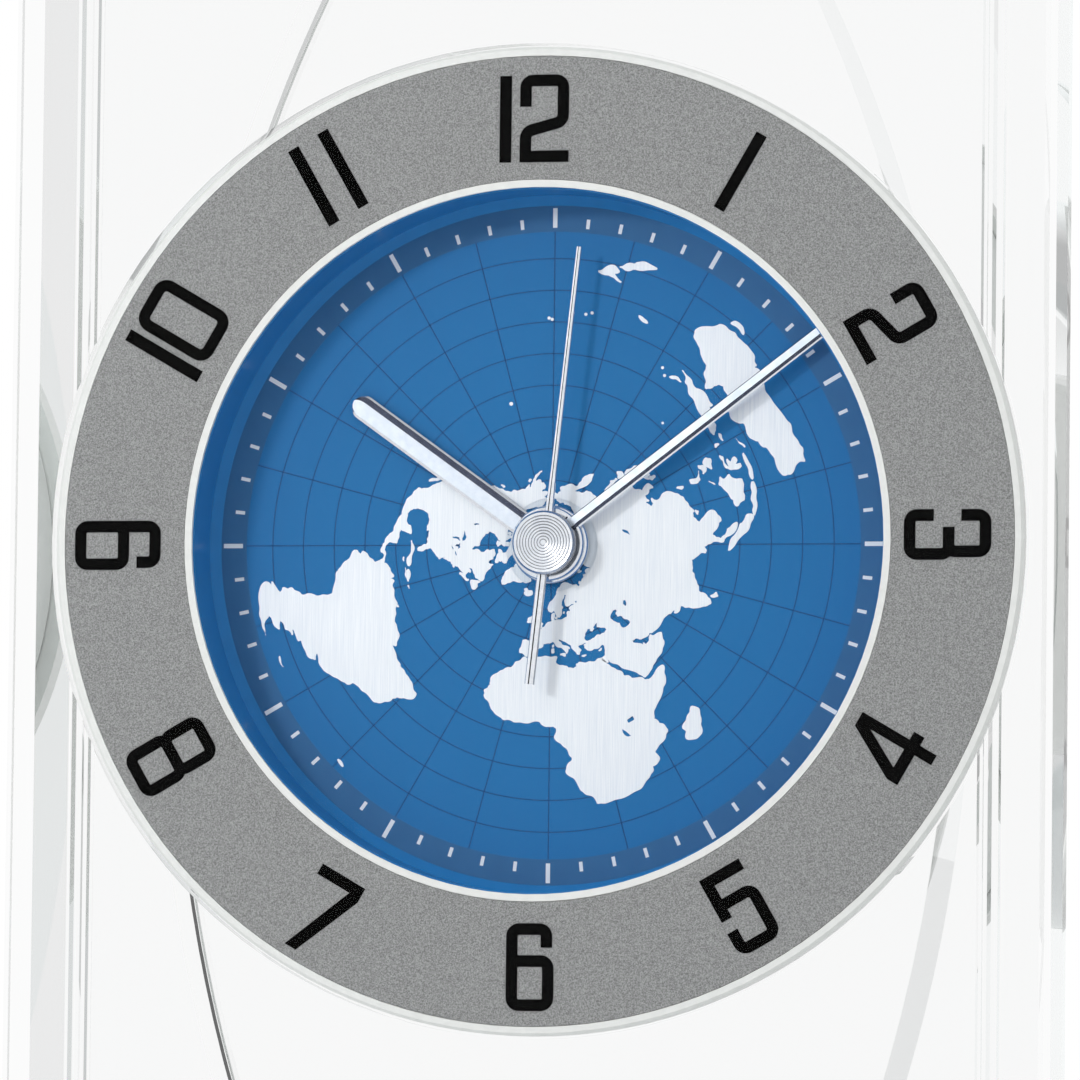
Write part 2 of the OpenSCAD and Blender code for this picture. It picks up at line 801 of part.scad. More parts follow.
module plus_contact() {
    color([0.8, 0.78, 0.7])
    on_face(plate_y1 + seat_gap, [0, -cell_drop])
        translate([bay_half_l - contact_t - seat_gap, -4, 0])
            union() {
                cube([contact_t, 8, cell_y - plate_y1 + 4]);
                translate([-0.6, -2, cell_y - plate_y1 - 2]) cube([0.7, 4, 4]);
            }
}

// Folded leaf that presses the battery towards its button
module minus_contact() {
    color([0.8, 0.78, 0.7])
    on_face(plate_y1 + seat_gap, [0, -cell_drop])
        translate([-bay_half_l + seat_gap, -4, 0])
            union() {
                cube([contact_t, 8, cell_y - plate_y1 + 5]);
                translate([0, 1.5, 0])
                    rotate([-90, 0, 0])
                        linear_extrude(5)
                            polygon([[0, -4], [contact_t, -4], [1.5, -cell_y + plate_y1],
                                [contact_t, -cell_y + plate_y1 - 4], [0, -cell_y + plate_y1 - 4]]);
            }
}

module rear_cover() {
    skirt_r = cup_in_r - 0.2;
    color([0.9, 0.9, 0.89])
    difference() {
        union() {
            on_face(cover_y0)
                rotate_extrude()
                    polygon([[0, 0], [cover_r, 0], [cover_r, cover_t - 0.8],
                        [cover_r - 0.8, cover_t], [0, cover_t]]);
            on_face(cover_y0 - 2.2)
                difference() {
                    cylinder(h = 2.3, r = skirt_r);
                    translate([0, 0, -1]) cylinder(h = 4, r = skirt_r - 1.2);
                }
        }
        on_face(cover_y0 - 1, [0, -cell_drop])
            translate([-bay_half_l + 0.6, -cell_r, 0])
                cube([2 * bay_half_l - 1.2, 2 * cell_r, cover_t + 2]);
        on_face(cover_y1 - door_t - seat_gap, [0, -cell_drop])
            translate([-door_half_l - 0.15, -door_half_w - 0.15, 0])
                cube([2 * door_half_l + 0.3, 2 * door_half_w + 0.3, door_t + 1]);
        rod(cover_y0 - 1, cover_y1 + 1, knob_d / 2 + 0.6, setting_at);
        for (p = post_places) {
            rod(cover_y0 - 1, cover_y1 + 1, screw_r + 0.1, p);
            rod(cover_y1 - screw_head_t - 0.1, cover_y1 + 1, screw_head_r + 0.15, p);
        }
    }
}

module cover_screws() {
    color([0.75, 0.76, 0.78])
    for (p = post_places) screw(cover_y1 - screw_head_t - 0.08, screw_grip - 0.5, p);
}

// Battery door with a finger notch and five grip ribs
module battery_door() {
    notch_r = 3;
    rib_count = 5;
    rib_pitch = 1.4;
    color([0.88, 0.88, 0.87])
    difference() {
        on_face(cover_y1 - door_t, [0, -cell_drop])
            translate([-door_half_l, -door_half_w, 0])
                cube([2 * door_half_l, 2 * door_half_w, door_t]);
        on_face(cover_y1 - 0.5, [0, -cell_drop - door_half_w]) cylinder(h = 1, r = notch_r);
        for (i = [0:rib_count - 1])
            on_face(cover_y1 - 0.35, [0, -cell_drop + 5.5 - i * rib_pitch])
                translate([-8, -0.35, 0]) cube([16, 0.7, 1]);
    }
}

// Setting knob: its gear meets the motion wheel, and its grip lies in the rear cover
module setting_knob() {
    grips = 16;
    color([0.85, 0.85, 0.84])
    union() {
        on_face(level(1), setting_at) gear(setting_teeth, gear_m, setting_phase);
        rod(plate_y0 + 0.5, level(1), pivot_r, setting_at);
        rod(level(1) + wheel_t - 0.1, knob_y0, stem_r, setting_at);
        difference() {
            rod(knob_y0, knob_y1, knob_d / 2, setting_at);
            for (i = [0:grips - 1])
                rod(knob_y0 - 1, knob_y1 + 1, 0.35, setting_at + polar(knob_d / 2 + 0.05, i * 360 / grips));
            on_face(knob_y1 - 0.6, setting_at)
                translate([-knob_d / 2 + 1.2, -0.5, 0]) cube([knob_d - 2.4, 1, 1]);
        }
    }
}

front_panel();
clear_block();
dial_cup();
numeral_ring();
reflector_ring();
dial_plate();
hour_hand();
minute_hand();
second_hand();
hand_cap();
main_plate();
train_cover();
train_screws();
hour_wheel();
cannon_pinion();
motion_wheel();
centre_wheel();
third_wheel();
second_wheel();
step_wheel();
rotor();
stator();
coil();
circuit_board();
quartz_crystal();
battery();
plus_contact();
minus_contact();
rear_cover();
cover_screws();
battery_door();
setting_knob();
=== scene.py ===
"""World time clock: materials, map dial, numerals, hands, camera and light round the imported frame."""

import math

import bmesh
import bpy
from mathutils import Matrix, Vector
from mathutils.geometry import delaunay_2d_cdt


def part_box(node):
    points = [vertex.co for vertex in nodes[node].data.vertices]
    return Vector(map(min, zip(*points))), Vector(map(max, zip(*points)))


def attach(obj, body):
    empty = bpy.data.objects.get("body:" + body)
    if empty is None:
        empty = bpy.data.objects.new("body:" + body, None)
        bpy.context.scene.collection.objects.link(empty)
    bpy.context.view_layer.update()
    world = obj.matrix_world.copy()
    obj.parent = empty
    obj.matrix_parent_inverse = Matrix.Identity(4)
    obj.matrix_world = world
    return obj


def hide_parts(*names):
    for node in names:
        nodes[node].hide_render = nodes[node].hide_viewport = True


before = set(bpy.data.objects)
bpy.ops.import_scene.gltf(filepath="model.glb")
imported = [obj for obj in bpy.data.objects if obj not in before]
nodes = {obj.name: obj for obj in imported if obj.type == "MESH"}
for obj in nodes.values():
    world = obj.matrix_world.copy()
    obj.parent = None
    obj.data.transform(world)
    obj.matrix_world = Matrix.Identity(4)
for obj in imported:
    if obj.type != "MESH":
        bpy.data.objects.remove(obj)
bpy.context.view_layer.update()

# The face's own coordinates, in millimetres: x to the right and z up from the hands' axis, and y
# backwards from the front of the numeral ring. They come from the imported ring.
RING_LOW, RING_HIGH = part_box("numeral_ring")
RING_FRONT = RING_LOW[1] * 1000
AXIS_Z = (RING_LOW[2] + RING_HIGH[2]) * 500
DIAL_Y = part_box("dial_plate")[0][1] * 1000 - RING_FRONT

FACE = Matrix.Translation((0, RING_FRONT / 1000, AXIS_Z / 1000)) @ Matrix.Scale(0.001, 4)

# Where the hands point, in degrees from twelve o'clock
HOUR_ANGLE, MINUTE_ANGLE, SECOND_ANGLE = 305.6, 52.7, 6.0

# The dial's print: millimetres for a degree of latitude, and the chapter band's two radii
DEGREE = 0.2198
MAP_R, BAND_R = 32.6, 36.0

# How far the layers of the dial stand in front of it, and how far they reach into it
GRID_TOP, BAND_TOP, MARK_TOP, LAND_TOP = 0.012, 0.02, 0.035, 0.07
SUNK = 0.02


def polar(r, clock):
    """A point at a radius and at degrees clockwise from twelve o'clock."""
    a = math.radians(clock)
    return r * math.sin(a), r * math.cos(a)


def srgb(*rgb):
    """A colour from its three numbers of 0 to 255."""
    return [(c / 255 / 12.92 if c <= 10 else ((c / 255 + 0.055) / 1.055) ** 2.4) for c in rgb] + [1.0]


# Materials
def material(name, colour, rough=0.5, metal=0.0, **more):
    m = bpy.data.materials.new(name)
    m.use_nodes = True
    m.diffuse_color = colour
    p = m.node_tree.nodes["Principled BSDF"]
    p.inputs["Base Color"].default_value = colour
    p.inputs["Roughness"].default_value = rough
    p.inputs["Metallic"].default_value = metal
    for key, value in more.items():
        p.inputs[key.replace("_", " ")].default_value = value
    return m


def grain(m, scale, tones, stretch=(1, 1, 1), bump=0.0, detail=3.0, rough=None):
    """Noise in object space between two tones. The same noise may vary the gloss and give a slight relief."""
    nt = m.node_tree
    p = nt.nodes["Principled BSDF"]
    coord = nt.nodes.new("ShaderNodeTexCoord")
    place = nt.nodes.new("ShaderNodeMapping")
    place.inputs["Scale"].default_value = stretch
    noise = nt.nodes.new("ShaderNodeTexNoise")
    noise.inputs["Scale"].default_value = scale
    noise.inputs["Detail"].default_value = detail
    ramp = nt.nodes.new("ShaderNodeValToRGB")
    ramp.color_ramp.elements[0].position = 0.3
    ramp.color_ramp.elements[1].position = 0.7
    ramp.color_ramp.elements[0].color, ramp.color_ramp.elements[1].color = tones
    nt.links.new(coord.outputs["Object"], place.inputs["Vector"])
    nt.links.new(place.outputs["Vector"], noise.inputs["Vector"])
    nt.links.new(noise.outputs["Fac"], ramp.inputs["Fac"])
    nt.links.new(ramp.outputs["Color"], p.inputs["Base Color"])
    if rough:
        spread = nt.nodes.new("ShaderNodeMapRange")
        spread.inputs["To Min"].default_value, spread.inputs["To Max"].default_value = rough
        nt.links.new(noise.outputs["Fac"], spread.inputs["Value"])
        nt.links.new(spread.outputs["Result"], p.inputs["Roughness"])
    if bump:
        relief = nt.nodes.new("ShaderNodeBump")
        relief.inputs["Strength"].default_value = 0.5
        relief.inputs["Distance"].default_value = bump
        nt.links.new(noise.outputs["Fac"], relief.inputs["Height"])
        nt.links.new(relief.outputs["Normal"], p.inputs["Normal"])
    return m


# The bounce after which a ray no longer bends in the plastic
DEEPEST = 4.5


def clear(name, colour):
    """Clear plastic that lets the lamps through."""
    m = material(name, colour, 0.0, 0.0, Transmission_Weight=1.0, IOR=1.49,
                 Specular_Tint=(0.06, 0.06, 0.06, 1))
    nt = m.node_tree
    out = nt.nodes["Material Output"]
    path = nt.nodes.new("ShaderNodeLightPath")
    through = nt.nodes.new("ShaderNodeBsdfTransparent")
    through.inputs["Color"].default_value = (0.97, 0.98, 0.98, 1)
    last = nt.nodes["Principled BSDF"].outputs["BSDF"]
    # Light that is caught in the plastic, or lights what is behind it, goes straight on
    deep = nt.nodes.new("ShaderNodeMath")
    deep.operation = "GREATER_THAN"
    deep.inputs[1].default_value = DEEPEST
    nt.links.new(path.outputs["Ray Depth"], deep.inputs[0])
    for ask in (deep.outputs["Value"], path.outputs["Is Diffuse Ray"], path.outputs["Is Shadow Ray"]):
        mix = nt.nodes.new("ShaderNodeMixShader")
        nt.links.new(ask, mix.inputs["Fac"])
        nt.links.new(last, mix.inputs[1])
        nt.links.new(through.outputs["BSDF"], mix.inputs[2])
        last = mix.outputs["Shader"]
    nt.links.new(last, out.inputs["Surface"])
    return m


CLEAR = clear("clear_plastic", (0.966, 0.968, 0.968, 1))
TINTED = clear("tinted_clear_plastic", (0.86, 0.9, 0.95, 1))
WHITE = grain(material("white_plastic", srgb(244, 244, 242), 0.38), 900,
              (srgb(241, 241, 239), srgb(247, 247, 245)), bump=0.00001)
RING = grain(material("grey_grain", srgb(140, 140, 140), 0.6, 0.0, Specular_IOR_Level=0.35), 7000,
             (srgb(113, 113, 113), srgb(179, 179, 179)), bump=0.00002, detail=3)
WALL = grain(material("blue_wall", srgb(40, 127, 193), 0.28, Specular_IOR_Level=0.2), 600,
             (srgb(38, 124, 190), srgb(42, 130, 197)))
SEA = grain(material("blue_sea", srgb(23, 115, 178), 0.42, Specular_IOR_Level=0.2), 700,
            (srgb(20, 112, 175), srgb(26, 118, 181)), stretch=(14, 1, 0.25))
BAND = grain(material("blue_band", srgb(49, 107, 156), 0.45, Specular_IOR_Level=0.2), 700,
             (srgb(47, 105, 154), srgb(51, 109, 158)))
LINES = grain(material("blue_lines", srgb(27, 83, 135), 0.5, Specular_IOR_Level=0.2), 700,
              (srgb(24, 80, 132), srgb(29, 86, 138)))
MARKS = grain(material("white_marks", srgb(240, 244, 248), 0.45), 900,
              (srgb(238, 242, 247), srgb(243, 246, 250)))
INK = grain(material("black_ink", srgb(6, 6, 6), 0.55, Specular_IOR_Level=0.0), 3000,
            (srgb(4, 4, 4), srgb(8, 8, 8)))
LAND = grain(material("brushed_land", srgb(236, 241, 247), 0.34, 0.25), 1500,
             (srgb(226, 232, 241), srgb(244, 247, 251)), stretch=(9, 1, 0.12), rough=(0.28, 0.42))
BRIGHT = grain(material("bright_metal", srgb(232, 236, 242), 0.16, 0.9), 1200,
               (srgb(228, 232, 239), srgb(238, 241, 246)), rough=(0.12, 0.2))
# Painted dark reflection for the hands' dark facets and the cap's wall, and painted shade for the cap's
# groove floors
PAINTED_SHADE_AND_REFLECTION = grain(material("painted_shade_and_dark_reflection", srgb(74, 80, 98), 0.2, 0.85), 1200,
              (srgb(68, 74, 92), srgb(82, 88, 106)))
# Painted paler reflection for one facet of the hour and minute hands
PAINTED_PALE_REFLECTION = grain(material("painted_pale_reflection", srgb(214, 222, 234), 0.3, 0.6), 1200,
             (srgb(208, 217, 230), srgb(222, 229, 239)), rough=(0.26, 0.36))
BLACK = grain(material("black_plastic", srgb(38, 38, 40), 0.5), 700, (srgb(35, 35, 37), srgb(42, 42, 44)),
              bump=0.00001)
SMOKE = grain(material("smoke_plastic", srgb(90, 93, 98), 0.35), 700, (srgb(86, 89, 94), srgb(95, 98, 103)))
STEEL = grain(material("plated_steel", srgb(190, 193, 198), 0.28, 1.0), 1500,
              (srgb(182, 186, 192), srgb(200, 203, 207)), rough=(0.22, 0.36))
WHEEL = grain(material("wheel_plastic", srgb(228, 224, 210), 0.4, Subsurface_Weight=0.05), 700,
              (srgb(224, 220, 205), srgb(233, 229, 216)))
BRASS = grain(material("turned_brass", srgb(205, 170, 95), 0.25, 1.0), 1500,
              (srgb(198, 162, 86), srgb(214, 180, 106)))
MAGNET = grain(material("magnet", srgb(58, 58, 62), 0.45, 0.4), 900, (srgb(52, 52, 56), srgb(66, 66, 70)))
IRON = grain(material("stator_iron", srgb(150, 153, 160), 0.35, 0.9), 900,
             (srgb(142, 146, 153), srgb(160, 163, 169)))
COPPER = grain(material("copper_wire", srgb(190, 105, 60), 0.3, 0.9), 900,
               (srgb(150, 78, 42), srgb(214, 128, 78)), stretch=(12, 1, 1), bump=0.00004)
BOARD = grain(material("green_board", srgb(28, 92, 56), 0.3), 900, (srgb(24, 84, 50), srgb(34, 102, 63)))
CELL = grain(material("cell_sleeve", srgb(150, 44, 36), 0.25), 700, (srgb(145, 40, 33), srgb(156, 49, 40)))
SPRING = grain(material("spring_metal", srgb(214, 205, 180), 0.25, 1.0), 1500,
               (srgb(206, 197, 171), srgb(222, 213, 190)))

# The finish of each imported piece
NODE_MATERIALS = {
    CLEAR: ["front_panel", "clear_block"],
    WHITE: ["dial_cup", "rear_cover", "battery_door"],
    RING: ["numeral_ring"],
    WALL: ["reflector_ring"],
    SEA: ["dial_plate"],
    BRIGHT: ["hour_hand", "minute_hand", "second_hand", "hand_cap"],
    BLACK: ["main_plate"],
    SMOKE: ["train_cover"],
    STEEL: ["train_screws", "cover_screws", "quartz_crystal"],
    WHEEL: ["hour_wheel", "motion_wheel", "centre_wheel", "third_wheel", "second_wheel", "step_wheel",
            "setting_knob"],
    BRASS: ["cannon_pinion"],
    MAGNET: ["rotor"],
    IRON: ["stator"],
    COPPER: ["coil"],
    BOARD: ["circuit_board"],
    CELL: ["battery"],
    SPRING: ["plus_contact", "minus_contact"],
}
for look, names in NODE_MATERIALS.items():
    for name in names:
        mesh = nodes[name].data
        mesh.materials.clear()
        mesh.materials.append(look)


# Building blocks. Shapes are made in face millimetres and then put at their place.
def finished(bm, name, looks, look_of=None, smooth=None):
    """Closes a shape, gives its faces their materials and makes it a piece."""
    bmesh.ops.remove_doubles(bm, verts=bm.verts, dist=1e-4)
    bmesh.ops.recalc_face_normals(bm, faces=bm.faces)
    for face in bm.faces:
        face.smooth = smooth is not None
        if look_of:
            face.material_index = look_of(face)
    bmesh.ops.transform(bm, matrix=FACE, verts=bm.verts)
    mesh = bpy.data.meshes.new(name)
    bm.to_mesh(mesh)
    bm.free()
    for look in looks:
        mesh.materials.append(look)
    if smooth is not None:
        mesh.set_sharp_from_angle(angle=math.radians(smooth))
    obj = bpy.data.objects.new(name, mesh)
    bpy.context.scene.collection.objects.link(obj)
    return obj


def inside(spot, loop):
    """Whether an outline goes round a spot."""
    turns = 0
    for (ax, az), (bx, bz) in zip(loop, loop[1:] + loop[:1]):
        if (az > spot.y) != (bz > spot.y) and spot.x < ax + (bx - ax) * (spot.y - az) / (bz - az):
            turns += 1 if bz > az else -1
    return turns != 0


def plate(bm, parts, front, back, plain=False):
    """A flat plate. Each part is an outline, followed by its holes; parts may overlap. A plain part has no
    bays that close on themselves."""
    points, rims = [], []
    for loop in [loop for part in parts for loop in part]:
        start, count = len(points), len(loop)
        points += [Vector(p) for p in loop]
        rims += [(start + i, start + (i + 1) % count) for i in range(count)]
    spots, _, threes = delaunay_2d_cdt(points, rims, [], 1, 1e-5)[:3]
    verts = [bm.verts.new((x, front, z)) for x, z in spots]
    faces = []
    for three in threes:
        centre = (spots[three[0]] + spots[three[1]] + spots[three[2]]) / 3
        if any((plain or inside(centre, part[0])) and not any(inside(centre, hole) for hole in part[1:])
               for part in parts):
            faces.append(bm.faces.new([verts[i] for i in three]))
    bmesh.ops.delete(bm, geom=[v for v in verts if not v.link_faces], context="VERTS")
    grown = bmesh.ops.extrude_face_region(bm, geom=faces)["geom"]
    back_verts = [v for v in grown if isinstance(v, bmesh.types.BMVert)]
    bmesh.ops.translate(bm, vec=(0, back - front, 0), verts=back_verts)


def turned(bm, profile, closed=True, steps=128):
    """A ring or a cap turned about the hands' axis. profile is (radius, depth)."""
    verts = [bm.verts.new((r, y, 0)) for r, y in profile]
    edges = [bm.edges.new(pair) for pair in zip(verts, verts[1:])]
    if closed:
        edges.append(bm.edges.new((verts[-1], verts[0])))
    bmesh.ops.spin(bm, geom=verts + edges, cent=(0, 0, 0), axis=(0, 1, 0), angle=2 * math.pi, steps=steps,
                   use_merge=True)


def bar(bm, r0, r1, width, clock, front, back):
    """A straight mark along a radius."""
    place = Matrix.Translation((0, (front + back) / 2, (r0 + r1) / 2))
    size = Matrix.Diagonal((width, back - front, r1 - r0, 1))
    bmesh.ops.create_cube(bm, size=1, matrix=Matrix.Rotation(math.radians(clock), 4, "Y") @ place @ size)


def circle(r, count):
    return [polar(r, 360 * i / count) for i in range(count)]


